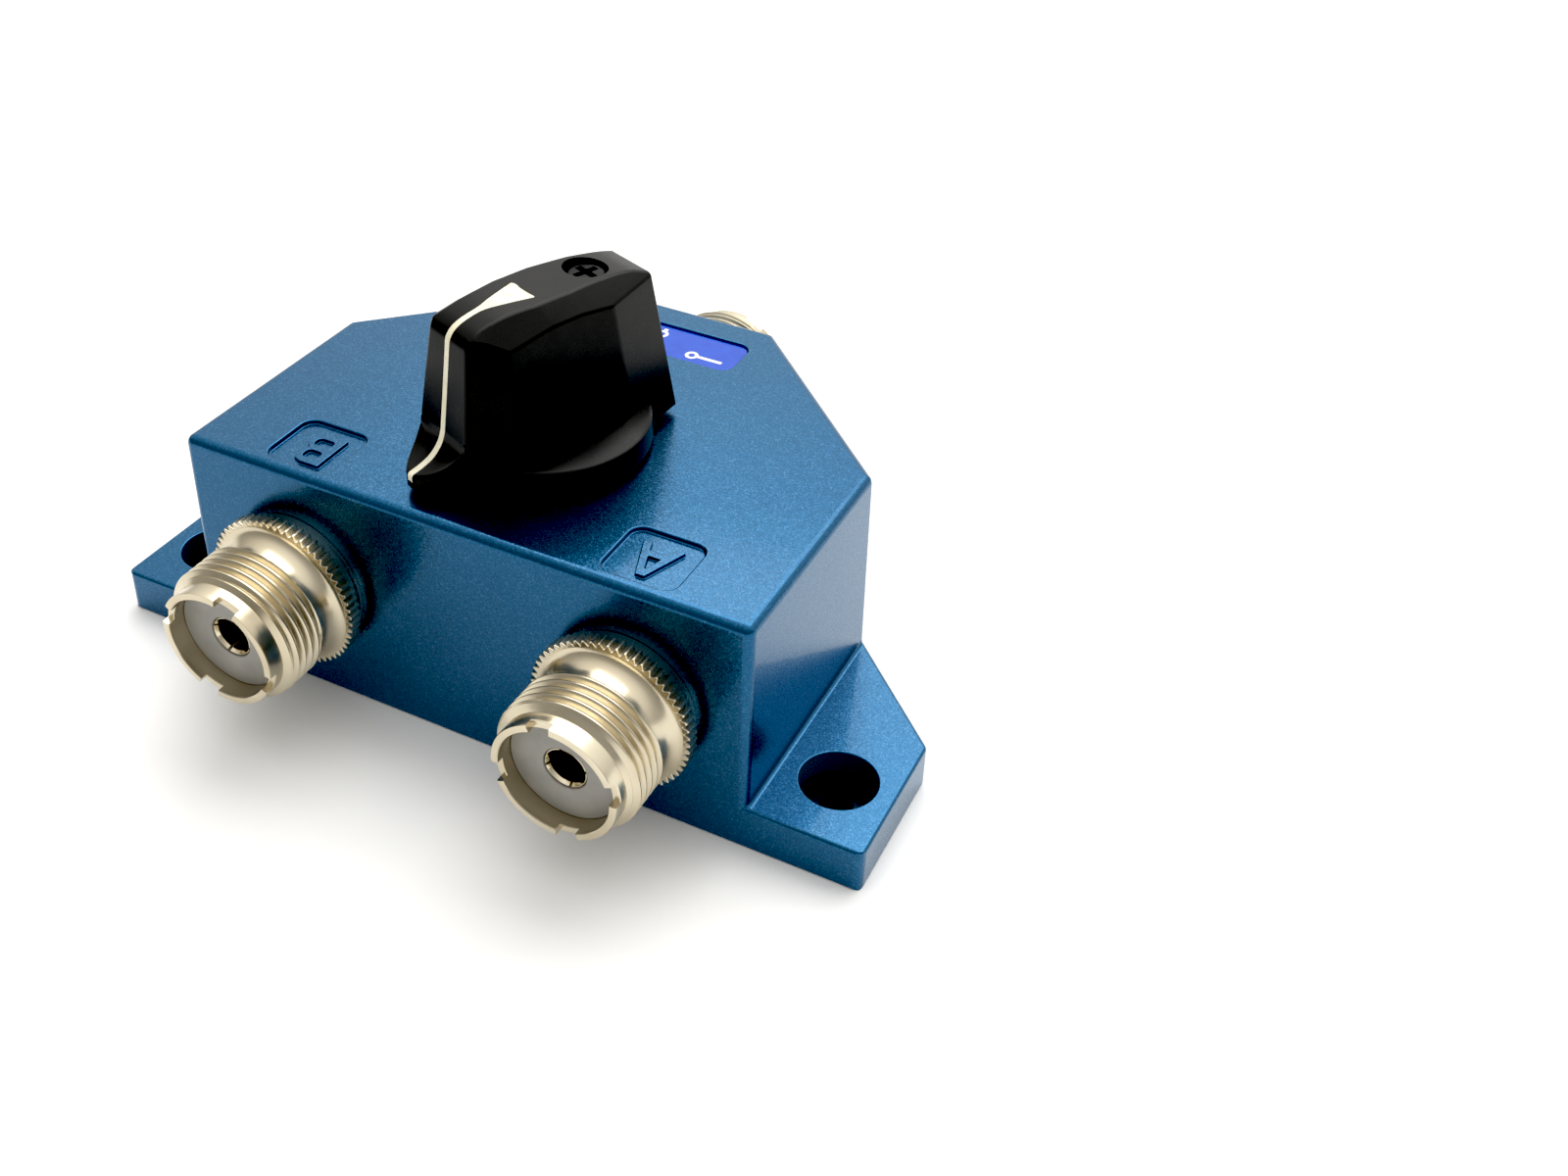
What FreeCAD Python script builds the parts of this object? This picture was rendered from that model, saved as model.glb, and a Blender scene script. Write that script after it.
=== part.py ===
import FreeCAD, Part
import math
import os

V = FreeCAD.Vector
os.makedirs("parts", exist_ok=True)

# ---------------------------------------------------------------------------
# Two-way coaxial antenna switch, millimetres.
# Origin: on the underside, midway between the two screw holes of the ears.
# +X to port A, -Y to the side with ports A and B, +Y to the common port, +Z up.
# ---------------------------------------------------------------------------

# cast housing
BODY_H = 28.1            # height of the box
FRONT_Y = -7.80          # front face at its top edge
SIDE_X = 33.75           # half width at the top edge
DIAG_SUM = 54.90         # x + y on the 45 degree faces at the top edge
REAR_Y = 43.20           # rear face at its top edge
DRAFT = 0.0249           # 1.43 degrees
DRAFT_DIAG = 0.0350      # 2.0 degrees
WALL = 2.5
ROOF = 3.0
EDGE_R = 1.0             # rounding of the box edges
EAR_X = 47.1             # half span of the ears
EAR_T = 5.3
EAR_R = 1.0
HOLE_X = 40.8            # screw holes of the ears
HOLE_R = 1.7
CBORE_R = 4.1
CBORE_DEPTH = 3.6
REBATE = 1.2             # rim width round the base cover
REBATE_DEPTH = 1.7
COVER_GAP = 0.12
COVER_T = 1.5
BOSS_R = 3.0
BOSSES = [(28.6, -2.4), (-28.6, -2.4), (28.9, 18.4), (-28.9, 18.4), (9.7, 38.1), (-9.7, 38.1)]
SCREW_R = 1.25
SCREW_HEAD_R = 2.3

# marking pads on the roof
PAD_DEPTH = 0.5
PAD_A = (16.2, 24.6, -6.35, 1.75)
PAD_B = (-24.3, -16.0, -6.35, 1.65)
PAD_R = 1.5
LETTER_H = 0.4
PLATE_BOX = (-11.0, 11.0, 32.4, 38.9)
PLATE_DEPTH = 0.7
PLATE_T = 0.4

# coaxial sockets, stations s along the axis, outwards from the machined seat
PORT_X = 20.2
PORT_Z = 14.2
SEAT_FRONT = -7.95
SEAT_REAR = 43.31
SEAT_R = 8.8
RIM_S = 13.87
PILOT_R = 6.93
PILOT_S = 11.80
THREAD_R = 7.94          # 5/8-24 thread, major radius
THREAD_S0 = 6.33
THREAD_S1 = 11.40
NECK_R = 6.9
FLANGE_S = 3.25
KNURL_TIP_R = 9.1
KNURL_ROOT_R = 8.55
KNURL_TEETH = 60
KNURL_S = 1.57
SHOULDER_R = 8.2
SPIGOT_R = 6.8
SPIGOT_S = -3.2
SHELL_BORE_R = 6.1
NOTCH_W = 2.4
NOTCH_D = 0.8
NOTCH_A = 11.5           # angle of the first of four notches, from +X towards +Z
NOTCH_B = -20.0
INS_S = 11.60            # face of the insulator
INS_STEP_S = 0.5
INS_TAIL_R = 4.6
INS_TAIL_S = -3.7
PIN_R = 2.4              # centre contact
PIN_BORE_R = 2.0
PIN_S = 11.45
PIN_STEP_S = 2.0
PIN_BORE_DEPTH = 8.4
TAIL_R = 1.3
TAIL_S = -8.25

# switch mechanism, turning about a vertical axis
AXIS_Y = 10.5
POINTER_DEG = 21.4       # pointer either side of the centre line
SHAFT_R = 3.0
BUSH_R = 4.5
BUSH_BORE_R = 3.03
BUSH_Z0 = 19.6
BUSH_FLANGE_R = 5.6
STRIP_Z = 14.2
STRIP_T = 0.8
BLADE_Z = 15.08
BLADE_T = 0.6
BLADE_REACH = 14.2
ROTOR_R = 10.5
ROTOR_Z0 = BLADE_Z + BLADE_T
ROTOR_Z1 = 19.0
DETENT_R = 8.0
STOP_R = 7.5

# knob, heights above the roof
KNOB_GAP = 0.6
SKIRT_R = 11.7
SCREW_U = -6.2
PLATE_Z0 = 1.05
PLATE_Z1 = 3.05

S2 = math.sqrt(0.5)


# ------------------------------------------------------------------ helpers
def export(shape, name):
    solids = shape.Solids
    ok = all(s.isValid() and s.Volume > 0 for s in solids)
    out = solids[0] if len(solids) == 1 else Part.makeCompound(solids)
    out.exportStep("parts/%s.step" % name)
    print("%-20s solids %d valid %s volume %.1f" % (name, len(solids), ok, sum(s.Volume for s in solids)))


def cyl(r, z0, z1, x=0.0, y=0.0):
    return Part.makeCylinder(r, z1 - z0, V(x, y, z0))


def box(x0, x1, y0, y1, z0, z1):
    return Part.makeBox(x1 - x0, y1 - y0, z1 - z0, V(x0, y0, z0))


def poly_prism(pts, z0, z1):
    w = Part.makePolygon([V(x, y, z0) for x, y in pts] + [V(pts[0][0], pts[0][1], z0)])
    return Part.Face(w).extrude(V(0, 0, z1 - z0))


def rounded_prism(x0, x1, y0, y1, r, z0, z1):
    b = box(x0, x1, y0, y1, z0, z1)
    edges = [e for e in b.Edges if abs(e.Vertexes[0].Z - e.Vertexes[1].Z) > (z1 - z0) * 0.5]
    return b.makeFillet(r, edges)


def revolve(profile):
    """Turn a closed (r, z) profile about the Z axis."""
    w = Part.makePolygon([V(r, 0, z) for r, z in profile] + [V(profile[0][0], 0, profile[0][1])])
    return Part.Face(w).revolve(V(0, 0, 0), V(0, 0, 1), 360)


def outline(off, z, ears=False):
    """Plan outline of the box, moved inwards by off, at height z."""
    k = BODY_H - z
    sx = (EAR_X + (EAR_T - z) * DRAFT if ears else SIDE_X + k * DRAFT) - off
    fy = FRONT_Y - k * DRAFT + off
    ry = REAR_Y + k * DRAFT - off
    ds = DIAG_SUM + (k * DRAFT_DIAG - off) / S2
    return [(sx, fy), (sx, ds - sx), (ds - ry, ry), (-(ds - ry), ry), (-sx, ds - sx), (-sx, fy)]


def drafted(low, high, z0, z1):
    """Solid between two plan outlines with flat faces."""
    n = len(low)
    a = [V(x, y, z0) for x, y in low]
    b = [V(x, y, z1) for x, y in high]
    faces = [Part.Face(Part.makePolygon(a + [a[0]])), Part.Face(Part.makePolygon(b + [b[0]]))]
    for i in range(n):
        j = (i + 1) % n
        faces.append(Part.Face(Part.makePolygon([a[i], a[j], b[j], b[i], a[i]])))
    return Part.Solid(Part.Shell(faces))


def to_port(shape, port):
    """Move a socket piece from its own axis (+Z outwards) to its port."""
    s = shape.copy()
    if port == "com":
        s.rotate(V(0, 0, 0), V(1, 0, 0), -90)
        s.translate(V(0, SEAT_REAR, PORT_Z))
    else:
        s.rotate(V(0, 0, 0), V(1, 0, 0), 90)
        s.translate(V(PORT_X if port == "a" else -PORT_X, SEAT_FRONT, PORT_Z))
    return s


def phillips(x, y, z, w, d, depth, up=True):
    """Cross recess for a screw head."""
    z0, z1 = (z - depth, z + 1.0) if up else (z - 1.0, z + depth)
    return box(x - w, x + w, y - d, y + d, z0, z1).fuse(box(x - d, x + d, y - w, y + w, z0, z1))


# ------------------------------------------------------------------ housing
core = drafted(outline(0, 0), outline(0, BODY_H), 0, BODY_H)
ears = drafted(outline(0, 0, True), outline(0, EAR_T, True), 0, EAR_T)
shape = core.fuse(ears).removeSplitter()


def pick(shape, test):
    out = []
    for e in shape.Edges:
        p, q = e.Vertexes[0].Point, e.Vertexes[-1].Point
        if test(p, q):
            out.append(e)
    return out


def near(a, b, t=0.05):
    return abs(a - b) < t


tall = pick(shape, lambda p, q: abs(p.z - q.z) > 15)
roof = pick(shape, lambda p, q: near(p.z, BODY_H) and near(q.z, BODY_H))
shape = shape.makeFillet(EDGE_R, tall + roof)
ear_v = pick(shape, lambda p, q: abs(p.z - q.z) > 4 and abs(p.z - q.z) < 6 and abs(p.x) > 46)
shape = shape.makeFillet(EAR_R, ear_v)
outer = shape

cavity = drafted(outline(WALL, -1), outline(WALL, BODY_H - ROOF), -1, BODY_H - ROOF)
rebate = drafted(outline(REBATE, -1), outline(REBATE, REBATE_DEPTH), -1, REBATE_DEPTH)
housing = outer.cut(cavity)
posts = []
for bx, by in BOSSES:
    posts.append(cyl(BOSS_R, REBATE_DEPTH, BODY_H - 1.5, bx, by))
posts.append(cyl(7.0, BUSH_Z0 + 1.0, BODY_H - 1.5, 0, AXIS_Y))
posts.append(cyl(3.2, 19.4, BODY_H - 1.5, 0, AXIS_Y + DETENT_R))
posts.append(cyl(2.5, 19.4, BODY_H - 1.5, 0, AXIS_Y - STOP_R))
inner_limit = drafted(outline(WALL * 0.5, 0), outline(WALL * 0.5, BODY_H - 1.0), 0, BODY_H - 1.0)
for p in posts:
    housing = housing.fuse(p.common(inner_limit))
housing = housing.cut(rebate)
for bx, by in BOSSES:
    housing = housing.cut(cyl(SCREW_R, REBATE_DEPTH - 0.1, 9.0, bx, by))
# shaft, detent and stop holes
housing = housing.cut(cyl(BUSH_R, 18.0, BODY_H + 1, 0, AXIS_Y))
housing = housing.cut(cyl(BUSH_FLANGE_R + 0.15, 18.0, BUSH_Z0 + 1.0, 0, AXIS_Y))
housing = housing.cut(cyl(1.6, 19.0, 24.4, 0, AXIS_Y + DETENT_R))
housing = housing.cut(cyl(1.0, 19.0, 23.5, 0, AXIS_Y - STOP_R))
# socket seats and holes
for px in (-PORT_X, PORT_X):
    seat = Part.makeCylinder(SEAT_R, 6, V(px, SEAT_FRONT, PORT_Z), V(0, -1, 0))
    hole = Part.makeCylinder(SPIGOT_R, 12, V(px, SEAT_FRONT + 6, PORT_Z), V(0, -1, 0))
    housing = housing.cut(seat).cut(hole)
housing = housing.cut(Part.makeCylinder(SEAT_R, 6, V(0, SEAT_REAR, PORT_Z), V(0, 1, 0)))
housing = housing.cut(Part.makeCylinder(SPIGOT_R, 12, V(0, SEAT_REAR - 6, PORT_Z), V(0, 1, 0)))
# ear holes
for hx in (-HOLE_X, HOLE_X):
    housing = housing.cut(cyl(HOLE_R, -1, EAR_T + 1, hx, 0))
    housing = housing.cut(cyl(CBORE_R, EAR_T - CBORE_DEPTH, EAR_T + 1, hx, 0))

# roof recesses with raised position letters
top = BODY_H
housing = housing.cut(rounded_prism(PLATE_BOX[0], PLATE_BOX[1], PLATE_BOX[2], PLATE_BOX[3], 1.5, top - PLATE_DEPTH, top + 1))
pad_a = rounded_prism(PAD_A[0], PAD_A[1], PAD_A[2], PAD_A[3], PAD_R, top - PAD_DEPTH, top + 1)
pad_b = rounded_prism(PAD_B[0], PAD_B[1], PAD_B[2], PAD_B[3], PAD_R, top - PAD_DEPTH, top + 1)
zl0, zl1 = top - PAD_DEPTH - 0.2, top - PAD_DEPTH + LETTER_H
la = poly_prism([(19.9, -5.2), (20.9, -5.2), (22.8, 0.0), (21.8, 0.0), (21.4, -1.25), (19.4, -1.25), (19.0, 0.0), (18.0, 0.0)], zl0, zl1)
la = la.cut(poly_prism([(19.7, -2.15), (21.1, -2.15), (20.4, -4.25)], zl0 - 1, zl1 + 1))
b_out = [(-17.9, -5.4), (-20.3, -5.4), (-21.1, -5.05), (-21.5, -4.3), (-21.4, -3.4), (-20.95, -2.75), (-21.55, -2.2),
         (-21.85, -1.35), (-21.5, -0.5), (-20.7, 0.0), (-17.9, 0.0)]
lb = poly_prism(b_out, zl0, zl1)
lb = lb.cut(rounded_prism(-20.7, -18.85, -4.5, -3.1, 0.5, zl0 - 1, zl1 + 1))
lb = lb.cut(rounded_prism(-20.95, -18.85, -2.15, -0.9, 0.5, zl0 - 1, zl1 + 1))
housing = housing.cut(pad_a).cut(pad_b).fuse(la).fuse(lb).removeSplitter()
export(housing, "housing")

export(rounded_prism(PLATE_BOX[0] + 0.05, PLATE_BOX[1] - 0.05, PLATE_BOX[2] + 0.05, PLATE_BOX[3] - 0.05, 1.45,
                     top - PLATE_DEPTH, top - PLATE_DEPTH + PLATE_T), "name_plate")

# ------------------------------------------------------------------ base cover, its screws and the support post
cz0 = REBATE_DEPTH - COVER_T
cover = drafted(outline(REBATE + COVER_GAP, cz0), outline(REBATE + COVER_GAP, REBATE_DEPTH), cz0, REBATE_DEPTH)
head_h = SCREW_HEAD_R - SCREW_R
screws = []
for bx, by in BOSSES:
    cover = cover.cut(cyl(SCREW_R, -1, 5, bx, by))
    cover = cover.cut(Part.makeCone(SCREW_HEAD_R, SCREW_R, head_h, V(bx, by, cz0)))
    head = Part.makeCone(SCREW_HEAD_R, SCREW_R, head_h, V(bx, by, cz0))
    s = head.fuse(cyl(SCREW_R, cz0 + head_h, 7.5, bx, by))
    s = s.cut(phillips(bx, by, cz0, 1.2, 0.3, 0.75, up=False))
    screws.append(s)
cover = cover.cut(cyl(2.0, -1, 5, 0, AXIS_Y))
export(cover, "base_cover")
export(Part.makeCompound(screws), "cover_screws")

post = cyl(7.0, REBATE_DEPTH, 3.4, 0, AXIS_Y).fuse(cyl(4.6, REBATE_DEPTH, STRIP_Z, 0, AXIS_Y)).fuse(cyl(2.0, cz0, 2.5, 0, AXIS_Y))
post = post.cut(cyl(2.25, 10.4, STRIP_Z + 1, 0, AXIS_Y)).removeSplitter()
export(post, "support_post")

# ------------------------------------------------------------------ coaxial sockets
for port in ("a", "b", "com"):
    # plated shell, thread modelled at its major radius
    neck = []
    r_f = 3.0                                     # sweep from neck to flange
    for i in range(9):
        t = math.radians(90 * i / 8.0)
        neck.append((NECK_R + (8.35 - NECK_R) * (1 - math.sin(t)), FLANGE_S + 0.05 + (r_f - 0.4) * (1 - math.cos(t))))
    prof = [(SHELL_BORE_R, RIM_S), (PILOT_R - 0.2, RIM_S), (PILOT_R, RIM_S - 0.2), (PILOT_R, PILOT_S),
            (THREAD_R - 0.3, THREAD_S1 + 0.05), (THREAD_R, THREAD_S1 - 0.25), (THREAD_R, THREAD_S0), (NECK_R, THREAD_S0 - 0.45)]
    prof += [p for p in reversed(neck) if p[1] < THREAD_S0 - 0.5]
    prof += [(8.4, FLANGE_S), (8.4, KNURL_S), (SHOULDER_R, KNURL_S), (SHOULDER_R, 0.0), (SPIGOT_R, 0.0),
             (SPIGOT_R, SPIGOT_S), (INS_TAIL_R, SPIGOT_S), (INS_TAIL_R, INS_STEP_S), (SHELL_BORE_R, INS_STEP_S)]
    shell = revolve(prof)
    pts = []
    for i in range(KNURL_TEETH):
        for k, r in ((0.0, KNURL_TIP_R), (0.5, KNURL_ROOT_R)):
            a = 2 * math.pi * (i + k) / KNURL_TEETH
            pts.append((r * math.cos(a), r * math.sin(a)))
    ring = poly_prism(pts, KNURL_S, FLANGE_S).cut(cyl(8.0, KNURL_S - 1, FLANGE_S + 1))
    shell = shell.fuse(ring)
    ang0 = NOTCH_A if port == "a" else NOTCH_B if port == "b" else 25.0
    for k in range(4):
        n = box(PILOT_R - 2.0, PILOT_R + 1.0, -NOTCH_W / 2, NOTCH_W / 2, RIM_S - NOTCH_D, RIM_S + 1)
        n.rotate(V(0, 0, 0), V(0, 0, 1), ang0 + 90 * k)
        shell = shell.cut(n)
    export(to_port(shell, port), "connector_shell_" + port)

    ins = cyl(SHELL_BORE_R, INS_STEP_S, INS_S).fuse(cyl(INS_TAIL_R, INS_TAIL_S, INS_STEP_S)).removeSplitter()
    ins = ins.cut(cyl(PIN_R, PIN_STEP_S, INS_S + 1)).cut(cyl(TAIL_R, INS_TAIL_S - 1, PIN_STEP_S + 0.5))
    export(to_port(ins, port), "insulator_" + port)

    pin = revolve([(0, PIN_S), (PIN_R - 0.1, PIN_S), (PIN_R, PIN_S - 0.1), (PIN_R, PIN_STEP_S), (TAIL_R, PIN_STEP_S), (TAIL_R, TAIL_S), (0, TAIL_S)])
    pin = pin.cut(cyl(PIN_BORE_R, PIN_S - PIN_BORE_DEPTH, PIN_S + 1))
    pin = pin.cut(Part.makeCone(PIN_BORE_R, PIN_BORE_R + 0.2, 0.35, V(0, 0, PIN_S - 0.35)))
    for k in range(2):
        slot = box(-PIN_R - 0.5, PIN_R + 0.5, -0.15, 0.15, PIN_S - 7.0, PIN_S + 1)
        slot.rotate(V(0, 0, 0), V(0, 0, 1), 90 * k + ang0)
        pin = pin.cut(slot)
    pin = to_port(pin, port)
    # flat for the contact strip
    if port == "com":
        y_in = SEAT_REAR + TAIL_S
        pin = pin.cut(box(-2, 2, y_in - 1, y_in + 3.9, STRIP_Z, STRIP_Z + 3))
    else:
        px = PORT_X if port == "a" else -PORT_X
        y_in = SEAT_FRONT - TAIL_S
        pin = pin.cut(box(px - 2, px + 2, y_in - 4.4, y_in + 1, STRIP_Z, STRIP_Z + 3))
    export(pin, "centre_contact_" + port)

# ------------------------------------------------------------------ contact strips
z0, z1 = STRIP_Z, STRIP_Z + STRIP_T
sy0, sy1 = SEAT_FRONT - TAIL_S - 4.3, SEAT_FRONT - TAIL_S
for port, sgn in (("a", 1), ("b", -1)):
    xs = sorted((sgn * 2.9, sgn * (PORT_X + 2.4)))
    export(rounded_prism(xs[0], xs[1], sy0, sy1, 1.0, z0, z1), "contact_strip_" + port)
com = box(-3.0, 3.0, AXIS_Y, SEAT_REAR + TAIL_S + 3.8, z0, z1).fuse(cyl(5.2, z0, z1, 0, AXIS_Y))
com = com.cut(cyl(2.6, z0 - 1, z1 + 1, 0, AXIS_Y)).removeSplitter()
export(com, "contact_strip_com")

# ------------------------------------------------------------------ bushing, washer, detent, stop
bush = cyl(BUSH_R, BUSH_Z0, BODY_H, 0, AXIS_Y).fuse(cyl(BUSH_FLANGE_R, BUSH_Z0, BUSH_Z0 + 1.0, 0, AXIS_Y))
bush = bush.cut(cyl(BUSH_BORE_R, BUSH_Z0 - 1, BODY_H + 1, 0, AXIS_Y)).removeSplitter()
export(bush, "shaft_bushing")

# curved spring washer: a ring cut from a thin arched strip
sag, span, t = 0.26, 5.5, 0.16
rad = (span * span + sag * sag) / (2 * sag)
za = ROTOR_Z1 + 0.06
arch = Part.makeCylinder(rad + t, 14, V(0, AXIS_Y - 7, za + sag - rad), V(0, 1, 0)).cut(
    Part.makeCylinder(rad, 16, V(0, AXIS_Y - 8, za + sag - rad), V(0, 1, 0)))
washer = cyl(span, ROTOR_Z1, BUSH_Z0, 0, AXIS_Y).cut(cyl(3.4, ROTOR_Z1 - 1, BUSH_Z0 + 1, 0, AXIS_Y)).common(arch)
export(washer, "wave_washer")

ball_z = 19.6
export(Part.makeSphere(1.5, V(0, AXIS_Y + DETENT_R, ball_z)), "detent_ball")
wire_r, coil_r = 0.2, 1.15
hz0, hz1 = ball_z + 1.5 + wire_r + 0.02, 24.4 - wire_r - 0.02
helix = Part.makeHelix(0.72, hz1 - hz0, coil_r)
section = Part.Wire([Part.makeCircle(wire_r, V(coil_r, 0, 0), V(0, 1, 0))])
spring = Part.Wire(helix.Edges).makePipeShell([section], True, True)
spring.translate(V(0, AXIS_Y + DETENT_R, hz0))
export(spring, "detent_spring")
export(cyl(1.0, 17.3, 23.5, 0, AXIS_Y - STOP_R), "stop_pin")


# ------------------------------------------------------------------ turning group, built with the pointer along -Y
def turn(shape):
    s = shape.copy()
    s.rotate(V(0, AXIS_Y, 0), V(0, 0, 1), -POINTER_DEG)
    return s


def kx(u, w):
    """Knob coordinates: u along the pointer, w across it."""
    return (w, AXIS_Y - u)


flat_y = AXIS_Y + 2.4
shaft = cyl(SHAFT_R, 16.35, BODY_H + PLATE_Z1, 0, AXIS_Y)
shaft = shaft.cut(box(-4, 4, flat_y, flat_y + 3, 16.0, ROTOR_Z1 + 0.02))
shaft = shaft.cut(box(-4, 4, flat_y, flat_y + 3, BODY_H + PLATE_Z0 - 0.02, BODY_H + 6))
shaft = shaft.cut(cyl(4, BODY_H + 0.12, BODY_H + 0.70, 0, AXIS_Y).cut(cyl(2.5, BODY_H, BODY_H + 1, 0, AXIS_Y)))
export(turn(shaft), "switch_shaft")


def d_hole(z0, z1):
    return cyl(SHAFT_R, z0, z1, 0, AXIS_Y).cut(box(-4, 4, flat_y, flat_y + 3, z0 - 1, z1 + 1))


ring = cyl(4.6, BODY_H + 0.16, BODY_H + 0.66, 0, AXIS_Y).cut(cyl(2.5, BODY_H, BODY_H + 1, 0, AXIS_Y))
ring = ring.cut(box(-1.6, 1.6, AXIS_Y - 6, AXIS_Y, BODY_H, BODY_H + 1))
export(turn(ring), "retaining_ring")


def arc_slot(radius, half_w, mid_deg, z0, z1):
    """Curved slot about the axis, POINTER_DEG either side of mid_deg."""
    s = cyl(radius + half_w, z0, z1, 0, AXIS_Y).cut(cyl(radius - half_w, z0 - 1, z1 + 1, 0, AXIS_Y))
    wedge = [(0, AXIS_Y)]
    for i in range(5):
        a = math.radians(mid_deg - POINTER_DEG + i * POINTER_DEG / 2.0)
        wedge.append((20 * math.cos(a), AXIS_Y + 20 * math.sin(a)))
    s = s.common(poly_prism(wedge, z0, z1))
    for sgn in (-1, 1):
        a = math.radians(mid_deg + sgn * POINTER_DEG)
        s = s.fuse(cyl(half_w, z0, z1, radius * math.cos(a), AXIS_Y + radius * math.sin(a)))
    return s


rotor = cyl(ROTOR_R, ROTOR_Z0, ROTOR_Z1, 0, AXIS_Y).fuse(cyl(2.2, 11.0, ROTOR_Z0 + 0.5, 0, AXIS_Y))
rotor = rotor.cut(d_hole(16.35, ROTOR_Z1 + 1))
rotor = rotor.cut(arc_slot(STOP_R, 1.12, -90, 17.1, ROTOR_Z1 + 1))
groove = Part.makeTorus(DETENT_R, 1.65, V(0, AXIS_Y, ball_z))
wedge = [(0, AXIS_Y)]
for i in range(5):
    a = math.radians(90 - POINTER_DEG + i * POINTER_DEG / 2.0)
    wedge.append((20 * math.cos(a), AXIS_Y + 20 * math.sin(a)))
groove = groove.common(poly_prism(wedge, 17, 22))
for sgn in (-1, 1):
    a = math.radians(90 + sgn * POINTER_DEG)
    groove = groove.fuse(Part.makeSphere(1.85, V(DETENT_R * math.cos(a), AXIS_Y + DETENT_R * math.sin(a), ball_z)))
rotor = rotor.cut(groove)
for py in (-3.7, 3.7):
    rotor = rotor.fuse(cyl(0.7, BLADE_Z + 0.06, ROTOR_Z0 + 0.3, py, AXIS_Y))
rotor = rotor.removeSplitter()
export(turn(rotor), "rotor")

bz0, bz1 = BLADE_Z, BLADE_Z + BLADE_T
blade = cyl(5.0, bz0, bz1, 0, AXIS_Y).fuse(box(-2, 2, AXIS_Y - BLADE_REACH + 2, AXIS_Y, bz0, bz1))
blade = blade.fuse(cyl(2, bz0, bz1, 0, AXIS_Y - BLADE_REACH + 2)).cut(cyl(2.25, bz0 - 1, bz1 + 1, 0, AXIS_Y))
for py in (-3.7, 3.7):
    blade = blade.cut(cyl(0.72, bz0 - 1, bz1 + 1, py, AXIS_Y))
export(turn(blade.removeSplitter()), "rotor_blade")

pz0, pz1 = BODY_H + PLATE_Z0, BODY_H + PLATE_Z1


def plate_plan(grow, z0, z1):
    s = cyl(5.0 + grow, z0, z1, 0, AXIS_Y).fuse(box(-3.5 - grow, 3.5 + grow, AXIS_Y, AXIS_Y + 9.4 + grow, z0, z1))
    return s


plate = plate_plan(0, pz0, pz1).cut(d_hole(pz0 - 1, pz1 + 1)).cut(cyl(1.5, pz0 - 1, pz1 + 1, 0, AXIS_Y - SCREW_U))
export(turn(plate.removeSplitter()), "drive_plate")

# knob: walls as a ruled loft through plan outlines at several heights
LEVELS = [
    # z, nose centre u, nose points (u, w), nose edge, front corner, rear corner, tail corner
    (1.00, (16.76, 0), (16.26, 1.37), (14.84, 2.72), (13.86, 3.33), (12.95, 3.96), (8.77, 7.13), (-7.07, 7.13), (-14.47, 4.87)),
    (2.20, (16.78, 0), (16.26, 1.36), (14.80, 2.71), (13.80, 3.30), (12.91, 3.88), (8.66, 7.01), (-6.94, 7.01), (-14.30, 4.76)),
    (2.75, (16.21, 0), (16.18, 1.36), (14.78, 2.71), (13.77, 3.29), (12.89, 3.85), (8.61, 6.95), (-6.88, 6.95), (-14.22, 4.71)),
    (3.10, (15.12, 0), (15.58, 1.35), (14.74, 2.71), (13.75, 3.28), (12.88, 3.82), (8.58, 6.91), (-6.85, 6.91), (-14.16, 4.68)),
    (3.60, (14.11, 0), (14.32, 1.33), (14.19, 2.69), (13.72, 3.27), (12.87, 3.79), (8.53, 6.86), (-6.79, 6.86), (-14.09, 4.63)),
    (4.20, (13.44, 0), (13.50, 1.32), (13.38, 2.66), (13.40, 3.27), (12.85, 3.75), (8.48, 6.80), (-6.73, 6.80), (-14.01, 4.58)),
    (5.00, (12.84, 0), (12.87, 1.32), (12.84, 2.64), (12.83, 3.28), (12.80, 3.73), (8.41, 6.72), (-6.64, 6.72), (-13.89, 4.50)),
    (6.10, (12.43, 0), (12.43, 1.31), (12.43, 2.63), (12.43, 3.29), (12.43, 3.94), (8.31, 6.60), (-6.52, 6.60), (-13.73, 4.40)),
    (8.10, (12.12, 0), (12.12, 1.26), (12.12, 2.54), (12.12, 3.17), (12.12, 3.80), (8.12, 6.40), (-6.31, 6.40), (-13.44, 4.22)),
    (11.90, (11.54, 0), (11.54, 1.16), (11.54, 2.34), (11.54, 2.92), (11.54, 3.50), (7.78, 6.01), (-5.90, 6.01), (-12.89, 3.87)),
    (15.75, (10.97, 0), (10.97, 1.05), (10.97, 2.10), (10.97, 2.63), (10.97, 3.15), (7.43, 5.61), (-5.49, 5.61), (-12.33, 3.52)),
    (19.00, (10.49, 0), (10.49, 0.96), (10.49, 1.93), (10.49, 2.42), (10.49, 2.90), (7.13, 5.27), (-5.14, 5.27), (-11.85, 3.23)),
]
wires = []
for lv in LEVELS:
    half = list(lv[1:])
    ring_pts = half + [(u, -w) for u, w in reversed(half) if w > 0]
    pts = [V(kx(u, w)[0], kx(u, w)[1], BODY_H + lv[0]) for u, w in ring_pts]
    wires.append(Part.makePolygon(pts + [pts[0]]))
walls = Part.makeLoft(wires, True, True)

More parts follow.
